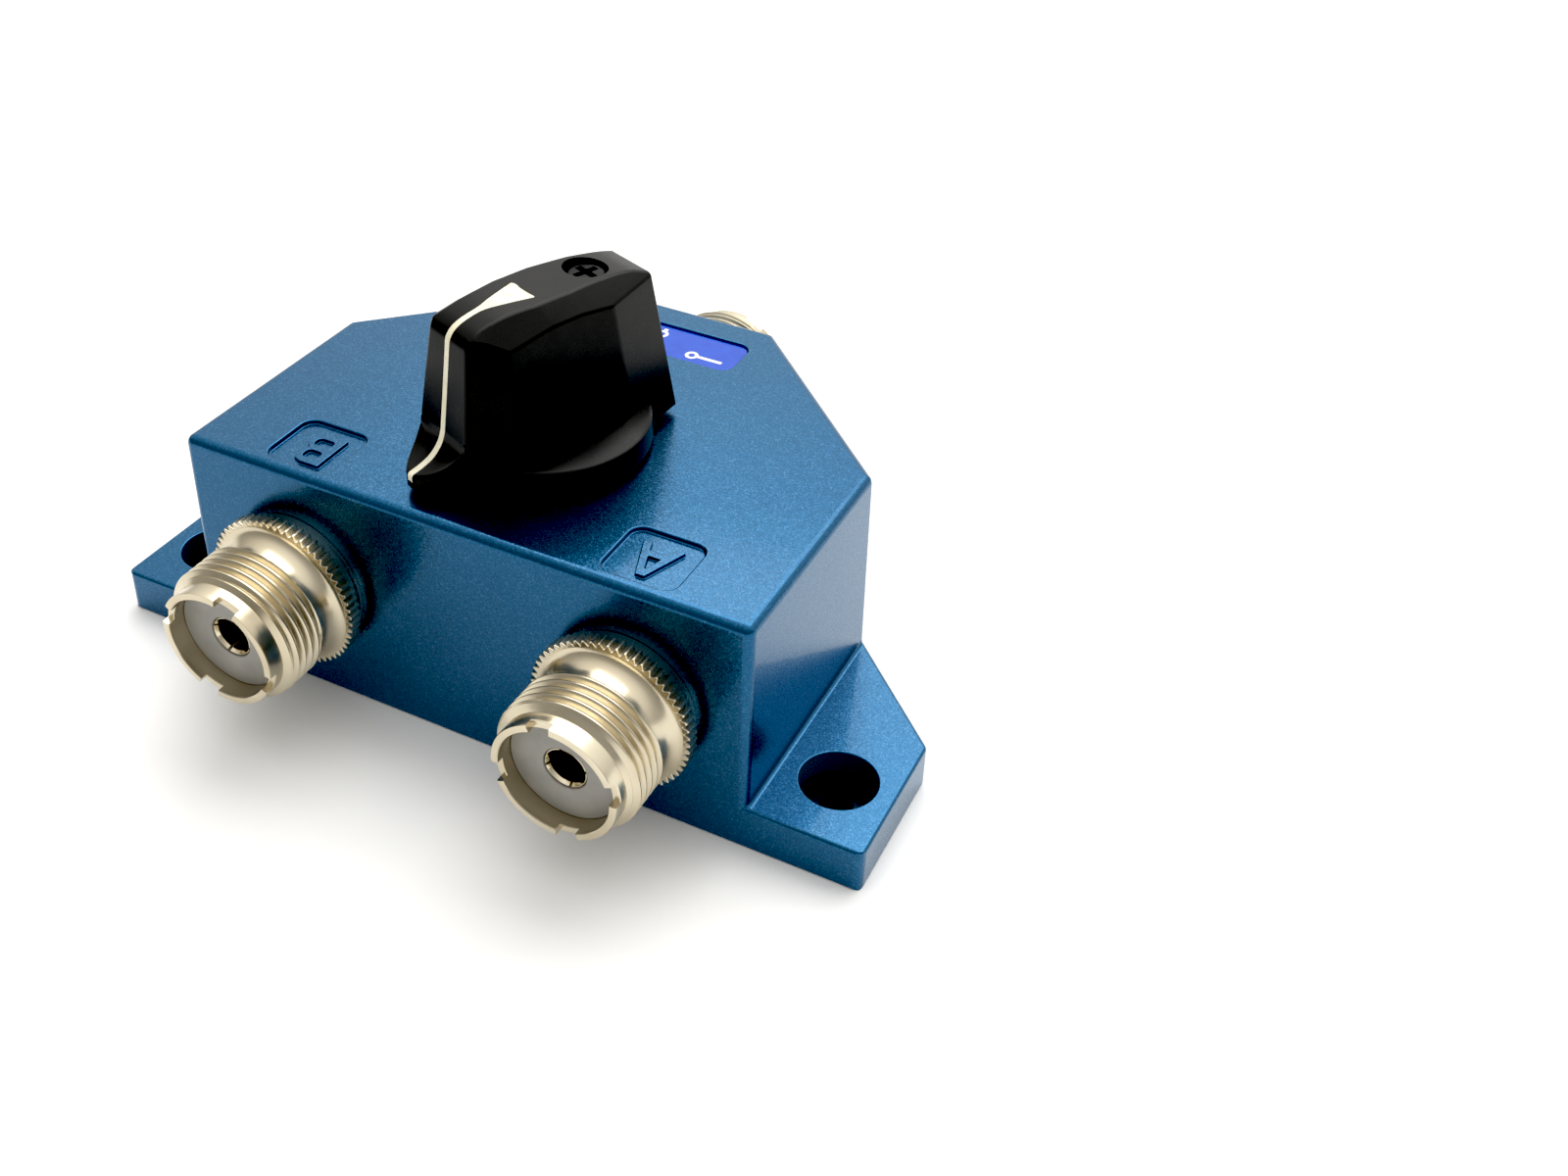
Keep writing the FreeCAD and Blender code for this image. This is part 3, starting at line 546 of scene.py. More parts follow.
def brushed_mat(name, a, b, scale):
    m = Nodes(name)
    grain = m.noise(60.0, 4.0, vec=m.stretch(scale))
    m.link(m.ramp(grain, [(0.3, a), (0.7, b)]), m.bsdf.inputs["Base Color"])
    m.link(m.spread(grain, 0.26, 0.44), m.bsdf.inputs["Roughness"])
    m.set(Metallic=1.0)
    m.link(m.bump(grain, 0.00003, 0.35), m.bsdf.inputs["Normal"])
    return m.mat


MAT = {
    "blue_paint": blue_paint(),
    "nickel": nickel(),
    "black_plastic": black_plastic(),
    "cream_paint": cream_paint(),
    "pale_insulator": insulator_mat(),
    "contact_brass": brass_mat("contact_brass", (0.66, 0.58, 0.42), (0.80, 0.73, 0.58), 0.10, 0.22),
    "strip_brass": brass_mat("strip_brass", (0.62, 0.44, 0.18), (0.76, 0.57, 0.26), 0.24, 0.40),
    "bright_steel": brushed_mat("bright_steel", (0.50, 0.51, 0.52), (0.66, 0.67, 0.68), (1.0, 1.0, 8.0)),
    "cover_metal": brushed_mat("cover_metal", (0.52, 0.53, 0.54), (0.66, 0.67, 0.68), (1.0, 30.0, 1.0)),
    "white_plastic": plastic_mat("white_plastic", (0.74, 0.74, 0.70), (0.82, 0.82, 0.79)),
    "black_screw": brass_mat("black_screw", (0.012, 0.012, 0.013), (0.024, 0.024, 0.026), 0.26, 0.38),
    "plate_blue": plastic_mat("plate_blue", (0.003, 0.060, 0.50), (0.006, 0.080, 0.57), 0.16, 0.26),
    "plate_white": plastic_mat("plate_white", (0.80, 0.81, 0.82), (0.86, 0.87, 0.88), 0.3, 0.4),
}


# ------------------------------------------------------------------ housing
def housing_blank():
    """Box and ears as one closed shape, its edges rounded by their own radii."""
    names, verts = {}, []

    def vert(key, p):
        names[key] = len(verts)
        verts.append((p[0] * MM, p[1] * MM, p[2] * MM))

    top = outline(0, BODY_H)
    for i, p in enumerate(top):
        vert("T%d" % i, (p[0], p[1], BODY_H))
    jn = outline(0, EAR_T)
    e5, e0, b0 = outline(0, EAR_T, True), outline(0, 0, True), outline(0, 0)
    for s, i, j in (("r", 0, 1), ("l", 5, 4)):
        vert("JF" + s, (*jn[i], EAR_T))
        vert("JR" + s, (*jn[j], EAR_T))
        vert("EF" + s, (*e5[i], EAR_T))
        vert("ER" + s, (*e5[j], EAR_T))
        vert("BF" + s, (*e0[i], 0))
        vert("BR" + s, (*e0[j], 0))
    vert("R2", (*b0[2], 0))
    vert("R3", (*b0[3], 0))
    faces = [
        ["T0", "T1", "T2", "T3", "T4", "T5"],
        ["BFl", "BFr", "EFr", "JFr", "T0", "T5", "JFl", "EFl"],
        ["JFr", "JRr", "T1", "T0"], ["EFr", "ERr", "JRr", "JFr"], ["BFr", "BRr", "ERr", "EFr"],
        ["BRr", "R2", "T2", "T1", "JRr", "ERr"],
        ["R2", "R3", "T3", "T2"],
        ["R3", "BRl", "ERl", "JRl", "T4", "T3"],
        ["JFl", "T5", "T4", "JRl"], ["EFl", "JFl", "JRl", "ERl"], ["BFl", "EFl", "ERl", "BRl"],
        ["BFl", "BRl", "R3", "R2", "BRr", "BFr"],
    ]
    me = bpy.data.meshes.new("blank")
    me.from_pydata(verts, [], [[names[k] for k in f] for f in faces])
    weights = {}
    for a, b in zip(range(6), [1, 2, 3, 4, 5, 0]):
        weights[("T%d" % a, "T%d" % b)] = 1.0
    weights.update({("T0", "JFr"): 1.0, ("T5", "JFl"): 1.0, ("T1", "JRr"): 0.42, ("T4", "JRl"): 0.42, ("T2", "R2"): 0.42, ("T3", "R3"): 0.42})
    for s in "rl":
        weights.update({("EF" + s, "BF" + s): 1.0, ("ER" + s, "BR" + s): 0.42, ("EF" + s, "JF" + s): 0.42, ("EF" + s, "ER" + s): 0.42,
                        ("ER" + s, "JR" + s): 0.42, ("JF" + s, "JR" + s): 0.5, ("BF" + s, "BR" + s): 0.25})
    weights.update({("BFl", "BFr"): 0.25, ("BRr", "R2"): 0.25, ("R2", "R3"): 0.25, ("R3", "BRl"): 0.25})
    table = {frozenset((names[a], names[b])): w for (a, b), w in weights.items()}
    at = me.attributes.new("bevel_weight_edge", "FLOAT", "EDGE")
    at.data.foreach_set("value", np.array([table.get(frozenset(e.vertices), 0.0) for e in me.edges], np.float32))
    o = temp_object(me)
    m = o.modifiers.new("round", "BEVEL")
    m.width, m.segments, m.limit_method, m.offset_type = 1.0 * MM, 6, "WEIGHT", "OFFSET"
    m.use_clamp_overlap = False
    out = evaluated(o)
    bpy.data.objects.remove(o)
    return out


LETTER_A = [(19.9, -5.2), (20.9, -5.2), (22.8, 0.0), (21.8, 0.0), (21.4, -1.25), (19.4, -1.25), (19.0, 0.0), (18.0, 0.0)]
COUNTER_A = [(19.7, -2.15), (21.1, -2.15), (20.4, -4.25)]
LETTER_B = [(-17.9, -5.4), (-20.3, -5.4), (-21.1, -5.05), (-21.5, -4.3), (-21.4, -3.4), (-20.95, -2.75), (-21.55, -2.2),
            (-21.85, -1.35), (-21.5, -0.5), (-20.7, 0.0), (-17.9, 0.0)]
PAD_D, LETTER_H = 0.5, 0.4


def pad(sk, box, letter, counters):
    """Sunk pad with a raised letter; gives the loop where it meets the roof."""
    x0, x1, y0, y1 = box

    def ring(step):
        d, depth = step
        return [(x, y, BODY_H - depth) for x, y in rrect(x0 - d, x1 + d, y0 - d, y1 + d, 1.5 + d)]

    first, last = sk.rings(ring, edge_in(0.2) + floor_in(0.15, PAD_D))
    base = round_poly(letter, 0.18)

    def up(outl, sign):
        def fn(step):
            d, depth = step
            return [(x, y, BODY_H - depth) for x, y in grow(outl, sign * d)]
        return fn

    top = PAD_D - LETTER_H
    steps = [(0.10, PAD_D), (0.04, PAD_D - 0.03), (0.0, PAD_D - 0.10), (0.0, top + 0.12), (-0.035, top + 0.035), (-0.12, top)]
    foot, head = sk.rings(up(base, 1), steps)
    holes = []
    for c in counters:
        f2, h2 = sk.rings(up(c, -1), steps)
        sk.face(f2, True)
        holes.append(h2)
    sk.region([head] + holes)
    sk.region([last, foot])
    return first


def housing():
    blank = housing_blank()
    sk = Skin()
    sk.v = [(v.co.x / MM, v.co.y / MM, v.co.z / MM) for v in blank.vertices]

    def biggest(n, test):
        best = None
        for p in blank.polygons:
            if p.normal.dot(Vector(n)) > 0.99 and test(p.center / MM) and (best is None or p.area > blank.polygons[best].area):
                best = p.index
        return best

    roof = biggest((0, 0, 1), lambda c: c.z > 27)
    ear_r = biggest((0, 0, 1), lambda c: c.z < 6 and c.x > 0)
    ear_l = biggest((0, 0, 1), lambda c: c.z < 6 and c.x < 0)
    front = biggest((0, -1, 0), lambda c: True)
    rear = biggest((0, 1, 0), lambda c: True)
    under = biggest((0, 0, -1), lambda c: True)
    skip = {roof, ear_r, ear_l, front, rear, under}
    for p in blank.polygons:
        if p.index not in skip:
            sk.face(list(p.vertices), p.area > 40e-6)
    loop = {k: list(blank.polygons[k].vertices) for k in skip}

    # roof with pads, plate recess and shaft hole
    pa = pad(sk, (16.2, 24.6, -6.35, 1.75), LETTER_A, [round_poly(COUNTER_A, 0.12)])
    pb = pad(sk, (-24.3, -16.0, -6.35, 1.65), LETTER_B, [rrect(-20.7, -18.85, -4.5, -3.1, 0.5, 4), rrect(-20.95, -18.85, -2.15, -0.9, 0.5, 4)])
    plate, pf = sk.rings(lambda s: [(x, y, BODY_H - s[1]) for x, y in rrect(-11 - s[0], 11 + s[0], 32.4 - s[0], 38.9 + s[0], 1.5 + s[0])],
                         edge_in(0.18) + floor_in(0.1, 0.7))
    sk.face(pf, True)
    shaft, sf = sk.rings(lambda s: [(x, y, s[1]) for x, y in circ(0, AXIS_Y, s[0], 64)],
                         [(4.65, BODY_H), (4.53, BODY_H - 0.12), (4.53, BODY_H - ROOF)])
    sk.region([loop[roof], pa, pb, plate, shaft])

    # ears: counterbored holes
    hole_under = []
    for e, sx in ((ear_r, 1), (ear_l, -1)):
        steps = [(CBORE_R + d, EAR_T - t) for d, t in edge_in(0.22)]
        steps += [(CBORE_R + d, EAR_T - t) for d, t in floor_in(0.2, CBORE_DEPTH)]
        z1 = EAR_T - CBORE_DEPTH
        steps += [(HOLE_R + 0.12, z1), (HOLE_R, z1 - 0.12), (HOLE_R, 0.2), (HOLE_R + 0.15, 0.0)]
        a, b = sk.rings(lambda s: [(x, y, s[1]) for x, y in circ(sx * HOLE_X, 0, s[0], 72)], steps)
        sk.region([loop[e], a])
        hole_under.append(b)

    # walls with the socket seats
    def wall_y(z, side, off=0.0):
        k = (BODY_H - z) * DRAFT
        return FRONT_Y - k + off if side < 0 else REAR_Y + k - off

    inner_loops = {}
    for f, side, xs, seat in ((front, -1, (PORT_X, -PORT_X), SEAT_FRONT), (rear, 1, (0.0,), SEAT_REAR)):
        holes = []
        for cx in xs:
            def ring(step, cx=cx, side=side, seat=seat):
                r, kind = step
                out = []
                for x, z in circ(cx, PORT_Z, r, 96):
                    w = wall_y(z, side)
                    if kind == "skin":
                        y = w
                    elif kind == "seat":
                        y = max(seat, w + 0.02) if side < 0 else min(seat, w - 0.02)
                    elif kind == "neck":
                        y = (seat + 0.12) if side < 0 else (seat - 0.12)
                    else:
                        y = wall_y(z, side, WALL)
                    out.append((x, y, z))
                return out
            a, b = sk.rings(ring, [(SEAT_R + 0.04, "skin"), (SEAT_R, "seat"), (SPIGOT_R + 0.12, "seat"), (SPIGOT_R, "neck"), (SPIGOT_R, "inside")])
            holes.append(a)
            inner_loops[(side, cx)] = b
        sk.region([loop[f]] + holes, axes=(0, 2))

    # underside, cover rebate and inside
    reb0 = sk.pts([(x, y, 0.0) for x, y in outline(REBATE, 0)])
    reb1 = sk.pts([(x, y, REBATE_DEPTH) for x, y in outline(REBATE, REBATE_DEPTH)])
    sk.strip(reb0, reb1, flat=True)
    cav0 = sk.pts([(x, y, REBATE_DEPTH) for x, y in outline(WALL, REBATE_DEPTH)])
    cav1 = sk.pts([(x, y, BODY_H - ROOF) for x, y in outline(WALL, BODY_H - ROOF)])
    sk.region([reb1, cav0])
    sk.region([loop[under], reb0] + hole_under)
    for i in range(6):
        j = (i + 1) % 6
        quad = [cav0[i], cav0[j], cav1[j], cav1[i]]
        if i == 5:      # front wall
            sk.region([quad, inner_loops[(-1, PORT_X)], inner_loops[(-1, -PORT_X)]], axes=(0, 2))
        elif i == 2:    # rear wall
            sk.region([quad, inner_loops[(1, 0.0)]], axes=(0, 2))
        else:
            sk.face(quad, True)
    sk.region([cav1, sf])
    # screw, shaft, detent and stop bosses inside
    for bx, by in BOSSES:
        revolve(sk, [(1.25, REBATE_DEPTH + 0.02), (3.0, REBATE_DEPTH + 0.02), (3.0, BODY_H - 2.4), (0, BODY_H - 2.4), (0, 9.0), (1.25, 9.0)], 40, (bx, by))
    revolve(sk, [(5.75, 20.6), (7.0, 20.6), (7.0, BODY_H - 2.4), (4.53, BODY_H - 2.4), (4.53, 20.62), (5.75, 20.62)], 56, (0, AXIS_Y))
    revolve(sk, [(1.6, 19.4), (3.2, 19.4), (3.2, BODY_H - 2.4), (0, BODY_H - 2.4), (0, 24.4), (1.6, 24.4)], 40, (0, AXIS_Y + 8.0))
    return put("housing_cast", sk, MAT["blue_paint"], "switch_body", "housing", limit=40.0)


housing()


# ------------------------------------------------------------------ name plate, bare apart from a plain switch symbol
def name_plate():
    z0 = BODY_H - 0.7 + 0.01
    sk = Skin()
    shape = lambda d: rrect(-10.93 - d, 10.93 + d, 32.47 - d, 38.83 + d, 1.43 + d)
    bottom, head = sk.rings(lambda s: [(x, y, s[1]) for x, y in shape(s[0])], [(-0.02, z0), (0.0, z0 + 0.03), (0.0, z0 + 0.30), (-0.03, z0 + 0.37), (-0.09, z0 + 0.39)])
    sk.face(bottom, True)
    sk.face(head, True)
    put("marking_plate", sk, MAT["plate_blue"], "switch_body", "name_plate")
    # printed symbol: three terminals and a lever, thin raised ink
    z1 = z0 + 0.385
    ink = Skin()

    def stroke(p):
        lo, hi = ink.rings(lambda s: [(x, y, s[1]) for x, y in grow(p, s[0])], [(0.0, z1), (0.0, z1 + 0.02), (-0.03, z1 + 0.035)])
        ink.face(lo, True)
        ink.face(hi, True)

    def line(x0, y0, x1, y1, w=0.26):
        d = Vector((x1 - x0, y1 - y0)).normalized()
        nrm = Vector((-d.y, d.x)) * w
        stroke([(x0 + nrm.x, y0 + nrm.y), (x1 + nrm.x, y1 + nrm.y), (x1 - nrm.x, y1 - nrm.y), (x0 - nrm.x, y0 - nrm.y)])

    def ring(cx, cy, r, w=0.22):
        a0 = ink.pts([(x, y, z1) for x, y in circ(cx, cy, r + w, 28)])
        a1 = ink.pts([(x, y, z1 + 0.035) for x, y in circ(cx, cy, r + w - 0.02, 28)])
        b1 = ink.pts([(x, y, z1 + 0.035) for x, y in circ(cx, cy, r - w + 0.02, 28)])
        b0 = ink.pts([(x, y, z1) for x, y in circ(cx, cy, r - w, 28)])
        for a, b in ((a0, a1), (a1, b1), (b1, b0), (b0, a0)):
            ink.strip(a, b)

    for sx in (-1, 1):
        line(sx * 9.3, 34.2, sx * 6.2, 34.2)
        ring(sx * 5.4, 34.2, 0.6)
    ring(0.0, 36.9, 0.6)
    line(0.0, 37.75, 0.0, 38.2)
    line(-0.6, 36.35, -4.75, 34.75)
    put("plate_print", ink, MAT["plate_white"], "switch_body")


name_plate()


# ------------------------------------------------------------------ screws
def cross_recess(sk, cx, cy, z, size, half, depth, up=True, taper=0.62):
    """Loop of the cross at the surface, with the recess built below it."""
    s = 1.0 if up else -1.0
    raw = []
    for a in range(4):
        c, t = round(math.cos(a * math.pi / 2)), round(math.sin(a * math.pi / 2))
        for x, y in ((size, -half), (size, half), (half, half)):
            raw.append((x * c - y * t, x * t + y * c))
    base = round_poly(raw, half * 0.35, 3)

    def fn(step):
        k, d = step
        return [(cx + x * k, cy + y * k, z - s * d) for x, y in base]

    a, b = sk.rings(fn, [(1.06, 0.0), (1.0, 0.06), (0.93, depth * 0.45), (taper, depth)])
    sk.face(b, True)
    return a


def cover_screws():
    sk = Skin()
    z = REBATE_DEPTH - COVER_T
    for bx, by in BOSSES:
        turned = Skin()
        mouth = cross_recess(turned, 0, 0, z, 1.25, 0.3, 0.8, up=False)
        loops = [turned.pts([(x, y, zz) for x, y in circ(0, 0, r, 48)]) for r, zz in
                 ((2.16, z), (2.26, z + 0.03), (2.26, z + 0.12), (1.27, z + 1.1), (1.22, z + 1.2), (1.22, 7.2), (0.9, 7.5))]
        turned.region([loops[0], mouth])
        for a, b in zip(loops, loops[1:]):
            turned.strip(a, b)
        turned.face(loops[-1], True)
        ang = 0.9 * bx + 0.37 * by
        c, s = math.cos(ang), math.sin(ang)
        sk.add(turned, lambda p: (bx + p[0] * c - p[1] * s, by + p[0] * s + p[1] * c, p[2]))
    put("cover_screw_set", sk, MAT["bright_steel"], "switch_body", "cover_screws")


def base_cover():
    sk = Skin()
    z0, z1 = REBATE_DEPTH - COVER_T, REBATE_DEPTH
    base = round_poly(outline(REBATE + COVER_GAP, z0), 0.8, 5)
    lo, hi = sk.rings(lambda s: [(x, y, s[1]) for x, y in grow(base, s[0])],
                      [(-0.22, z0), (-0.08, z0 + 0.04), (0.0, z0 + 0.18), (0.0, z1 - 0.02), (-0.02, z1 - 0.01)])
    holes0, holes1 = [], []
    for bx, by in BOSSES:
        a, b = sk.rings(lambda s: [(x, y, s[1]) for x, y in circ(bx, by, s[0], 48)], [(2.38, z0), (2.32, z0 + 0.04), (1.32, z0 + 1.05), (1.32, z1 - 0.01)])
        holes0.append(a)
        holes1.append(b)
    a, b = sk.rings(lambda s: [(x, y, s[1]) for x, y in circ(0, AXIS_Y, s[0], 40)], [(2.1, z0), (2.02, z0 + 0.06), (2.02, z1 - 0.01)])
    sk.region([lo] + holes0 + [a])
    sk.region([hi] + holes1 + [b])
    put("cover_sheet", sk, MAT["cover_metal"], "switch_body", "base_cover")


cover_screws()
base_cover()


# ------------------------------------------------------------------ coaxial sockets
PITCH = 25.4 / 24
NOTCH_A, NOTCH_B, NOTCH_C = 11.5, -20.0, 25.0
ROOT_A, ROOT_B = 10.584, 10.199       # station of a thread root at the top of the socket


def to_port(port):
    if port == "com":
        return lambda p: (p[0], SEAT_REAR + p[2], PORT_Z - p[1])
    sx = PORT_X if port == "a" else -PORT_X
    return lambda p: (sx + p[0], SEAT_FRONT - p[2], PORT_Z + p[1])


def socket(port):
    notch = {"a": NOTCH_A, "b": NOTCH_B, "com": NOTCH_C}[port]
    root = {"a": ROOT_A, "b": ROOT_B, "com": 10.4}[port]
    RIM, PILOT_R, PILOT_S, TR, T0, T1, NECK = 13.87, 6.93, 11.80, 7.94, 6.33, 11.40, 6.9
    FL, KS, KT, KR = 3.25, 1.57, 9.1, 8.55
    half = math.degrees(math.asin(1.2 / 6.5))
    cols = [(i * 2.0, 0) for i in range(180)]
    edges = []
    for k in range(4):
        for sg in (-1, 1):
            e = (notch + 90 * k + sg * half) % 360
            edges.append((e, sg))
    cols = [c for c in cols if all(abs((c[0] - e + 180) % 360 - 180) > 0.5 for e, _ in edges)]
    for e, sg in edges:
        cols.append(((e - 0.012) % 360, 0))
        cols.append(((e + 0.012) % 360, 0))
    cols = sorted(c[0] for c in cols)
    th = np.radians(np.array(cols))
    deg = np.array(cols)
    inside = np.zeros(len(cols), bool)
    for k in range(4):
        inside |= np.abs((deg - (notch + 90 * k) + 180) % 360 - 180) < half

    # thread: phase stations that follow the helix
    wk = [0.0, 0.05, 0.09, 0.13, 0.37, 0.41, 0.45, 0.5]
    dk = [0.0, 0.006, 0.06, 0.16, 0.84, 0.94, 0.994, 1.0]
    DEPTH = 0.62
    phases = [0.0, 0.05, 0.09, 0.13, 0.25, 0.37, 0.41, 0.45, 0.5, 0.55, 0.59, 0.63, 0.75, 0.87, 0.91, 0.95]

    def thread_r(s, v):
        w = abs((v + 0.5) % 1.0 - 0.5)             # 0 at a crest
        r = TR - DEPTH * np.interp(w, wk, dk)
        lead = (TR - 0.30) + (T1 + 0.05 - s) * 1.05     # chamfer at the outer end
        tail = NECK + (s - (T0 - 0.45)) * 1.6           # run out at the neck
        return np.minimum(np.minimum(r, lead), np.maximum(tail, NECK))

    stations = []           # each: (r array, s array)
    n = len(cols)
    one = np.ones(n)

    def add(r, s):
        stations.append((r * one, s * one))

    rim = np.where(inside, RIM - 0.8, RIM)
    # rim inner edge, rim face, outer chamfer, pilot
    stations.append((6.18 * one, rim))
    stations.append((6.74 * one, rim))
    stations.append((6.87 * one, rim - 0.05))
    stations.append((PILOT_R * one, rim - 0.19))
    add(PILOT_R, RIM - 1.02)
    add(PILOT_R, PILOT_S + 0.05)
    add(PILOT_R + 0.05, PILOT_S)
    s_top, s_bot = T1 + 0.02, T0 - 0.44
    first = len(stations)
    k_hi = int(math.ceil((s_top - root) / PITCH)) + 2
    k_lo = int(math.floor((s_bot - root) / PITCH)) - 2
    for k in range(k_hi, k_lo, -1):
        for ph in reversed(phases):
            v = k + ph
            s = root + PITCH * (v - 0.5) + PITCH * (deg - 87.5) / 360.0
            sc = np.clip(s, s_bot, s_top)
            # phase at the clamped station
            vc = (sc - root - PITCH * (deg - 87.5) / 360.0) / PITCH + 0.5
            if np.all(s >= s_top + 0.001) or np.all(s <= s_bot - 0.001):
                continue
            stations.append((thread_r(sc, vc), sc))
    last = len(stations) - 1
    neck = []
    for i in range(0, 9):
        t = math.radians(90 * i / 8.0)
        neck.append((NECK + (8.35 - NECK) * (1 - math.sin(t)), FL + 0.05 + 2.55 * (1 - math.cos(t))))
    for r, s in reversed(neck):
        if s < T0 - 0.5:
            add(r, s)
    add(8.37, FL - 0.3)
    add(8.37, KS + 0.02)
    add(8.15, KS)
    add(8.15, 0.04)
    add(8.10, 0.0)
    add(SPIGOT_R - 0.02, 0.0)
    add(SPIGOT_R - 0.02, -3.1)
    add(SPIGOT_R - 0.12, -3.2)
    add(4.6, -3.2)
    add(4.6, 0.5)
    add(6.1, 0.5)
    add(6.1, 12.95)
    stations.append((6.1 * one, rim - 0.08))
    sk = Skin()
    loops = []
    for r, s in stations:
        loops.append(sk.pts(zip(r * np.cos(th), r * np.sin(th), s)))
    for i, (a, b) in enumerate(zip(loops, loops[1:] + loops[:1])):
        sk.strip(a, b, closed=not first - 1 <= i <= last)
    # where the turn closes, each line of the thread meets the one a pitch further on
    m = len(phases)
    sk.face((loops[first - 1][-1], loops[first - 1][0], loops[first][0], loops[first][-1]))
    for i in range(first, first + m):
        sk.face((loops[i][-1], loops[i + 1][-1], loops[first][0]))
    for i in range(first + m, last):
        sk.face((loops[i][-1], loops[i + 1][-1], loops[i + 1 - m][0], loops[i - m][0]))
    for i in range(last - m, last):
        sk.face((loops[last][-1], loops[i + 1][0], loops[i][0]))
    sk.face((loops[last][-1], loops[last + 1][-1], loops[last + 1][0], loops[last][0]))

    # knurled rim of the flange
    pts = []
    for i in range(60):
        for ph, r in ((0.0, KT), (0.10, KT), (0.44, KR), (0.56, KR), (0.90, KT)):
            a = 2 * math.pi * (i + ph - 0.05) / 60
            pts.append((r, a))

    def ring(step):
        kind, s, g = step
        if kind == "flat":
            return [(g * math.cos(a), g * math.sin(a), s) for r, a in pts]
        return [((r - g) * math.cos(a), (r - g) * math.sin(a), s) for r, a in pts]

    steps = [("flat", FL, 8.2), ("tooth", FL, 0.16), ("tooth", FL - 0.05, 0.05), ("tooth", FL - 0.16, 0.0), ("tooth", KS + 0.16, 0.0),
             ("tooth", KS + 0.05, 0.05), ("tooth", KS, 0.16), ("flat", KS, 8.2)]
    ls = [sk.pts(ring(s)) for s in steps]
    for a, b in zip(ls, ls[1:] + ls[:1]):
        sk.strip(a, b)
    fn = to_port(port)
    put("socket_shell_" + port, sk.mapped(fn), MAT["nickel"], "switch_body", "connector_shell_" + port, limit=34.0, merge=0.0012)

    # insulator: face a little below the rim, small chamfer round the contact
    ins = Skin()
    revolve(ins, [(6.07, 0.52), (6.085, 11.50), (6.06, 11.57), (6.0, 11.60), (2.60, 11.60), (2.49, 11.56), (2.42, 11.46), (2.42, 2.0), (1.33, 2.0),
                  (1.33, -3.7), (4.57, -3.7), (4.57, 0.52)], 96)
    put("insulator_body_" + port, ins.mapped(fn), MAT["pale_insulator"], "switch_body", "insulator_" + port)

    # centre contact: four spring fingers over a plain tail
    pin = Skin()
    PIN, BORE, TOP, SLOT, TAIL = 2.36, 2.0, 11.45, 4.45, 1.3
    gap = 0.15
    prof = [(PIN, SLOT), (PIN, TOP - 0.15), (PIN - 0.04, TOP - 0.03), (PIN - 0.10, TOP), (PIN - 0.14, TOP - 0.02), (BORE + 0.02, TOP - 0.36), (BORE - 0.02, TOP - 0.46), (BORE - 0.05, SLOT)]
    for q in range(4):
        a0 = math.radians(notch + 90 * q)
        rings = []
        m = 14
        for i in range(m + 1):
            row = []
            for r, s in prof:
                lim = math.asin(gap / r)
                a = a0 + lim + (math.pi / 2 - 2 * lim) * i / m
                row.append((r * math.cos(a), r * math.sin(a), s))
            rings.append(pin.pts(row))
        for a, b in zip(rings, rings[1:]):
            pin.strip(a, b)
        pin.face(rings[0], True)
        pin.face(rings[-1], True)
    revolve(pin, [(PIN, 2.0), (PIN, SLOT - 0.005), (BORE, SLOT - 0.005), (BORE, 3.25), (0, 3.05), (0, -8.25), (TAIL - 0.1, -8.25), (TAIL, -8.1), (TAIL, 2.0)], 56)
    put("contact_" + port, pin.mapped(fn), MAT["contact_brass"], "switch_body", None, limit=34.0)


for port in ("a", "b", "com"):
    socket(port)


# ------------------------------------------------------------------ knob
TURN = math.radians(-POINTER_DEG)


def knob_to_part(p):
    """(u along the pointer, w across, height above the roof) to the part frame."""
    u, w, z = p
    x, y = w, -u
    c, s = math.cos(TURN), math.sin(TURN)
    return (x * c - y * s, AXIS_Y + x * s + y * c, BODY_H + z)


def bez(a, q, b, t):
    return tuple(a[i] * (1 - t) ** 2 + 2 * q[i] * t * (1 - t) + b[i] * t * t for i in range(3))


def halfway(rows):
    """A smooth curve's points with one more between each two."""
    out = []
    for i in range(len(rows) - 1):
        p1, p2 = rows[i], rows[i + 1]
        p0 = rows[i - 1] if i else tuple(2 * a - b for a, b in zip(p1, p2))
        p3 = rows[i + 2] if i + 2 < len(rows) else tuple(2 * a - b for a, b in zip(p2, p1))
        out += [p1, tuple((9 * (b + c) - a - d) / 16.0 for a, b, c, d in zip(p0, p1, p2, p3))]
    return out + [rows[-1]]


CREASE = 6.1
SWEEP = halfway([(1.0, 0.0), (0.838, 0.053), (0.656, 0.129), (0.456, 0.241), (0.308, 0.376), (0.190, 0.529), (0.0975, 0.691), (0.0385, 0.859), (0.0, 1.0)])


def foot_track(base, rim, rho, inward, crease):
    """One line up the foot: wall, rounded rim, hollow sweep, start of the nose."""
    col = [base, (rim[0], rim[1], rim[2] - rho)]
    for k in range(1, 5):
        a = math.radians(22.5 * k)
        d = rho * (1 - math.cos(a))
        col.append((rim[0] + inward[0] * d, rim[1] + inward[1] * d, rim[2] - rho + rho * math.sin(a)))
    s0 = col[-1]
    for f, t in SWEEP[1:]:
        col.append((crease[0] + (s0[0] - crease[0]) * f, crease[1] + (s0[1] - crease[1]) * f, s0[2] + (crease[2] - s0[2]) * t))
    return col


FOOT_LINE = [(p[0], p[2]) for p in foot_track((16.76, 0.0, 1.0), (16.78, 0.0, 2.70), 0.45, (-1.0, 0.0), (12.43, 0.0, CREASE))[1:]]


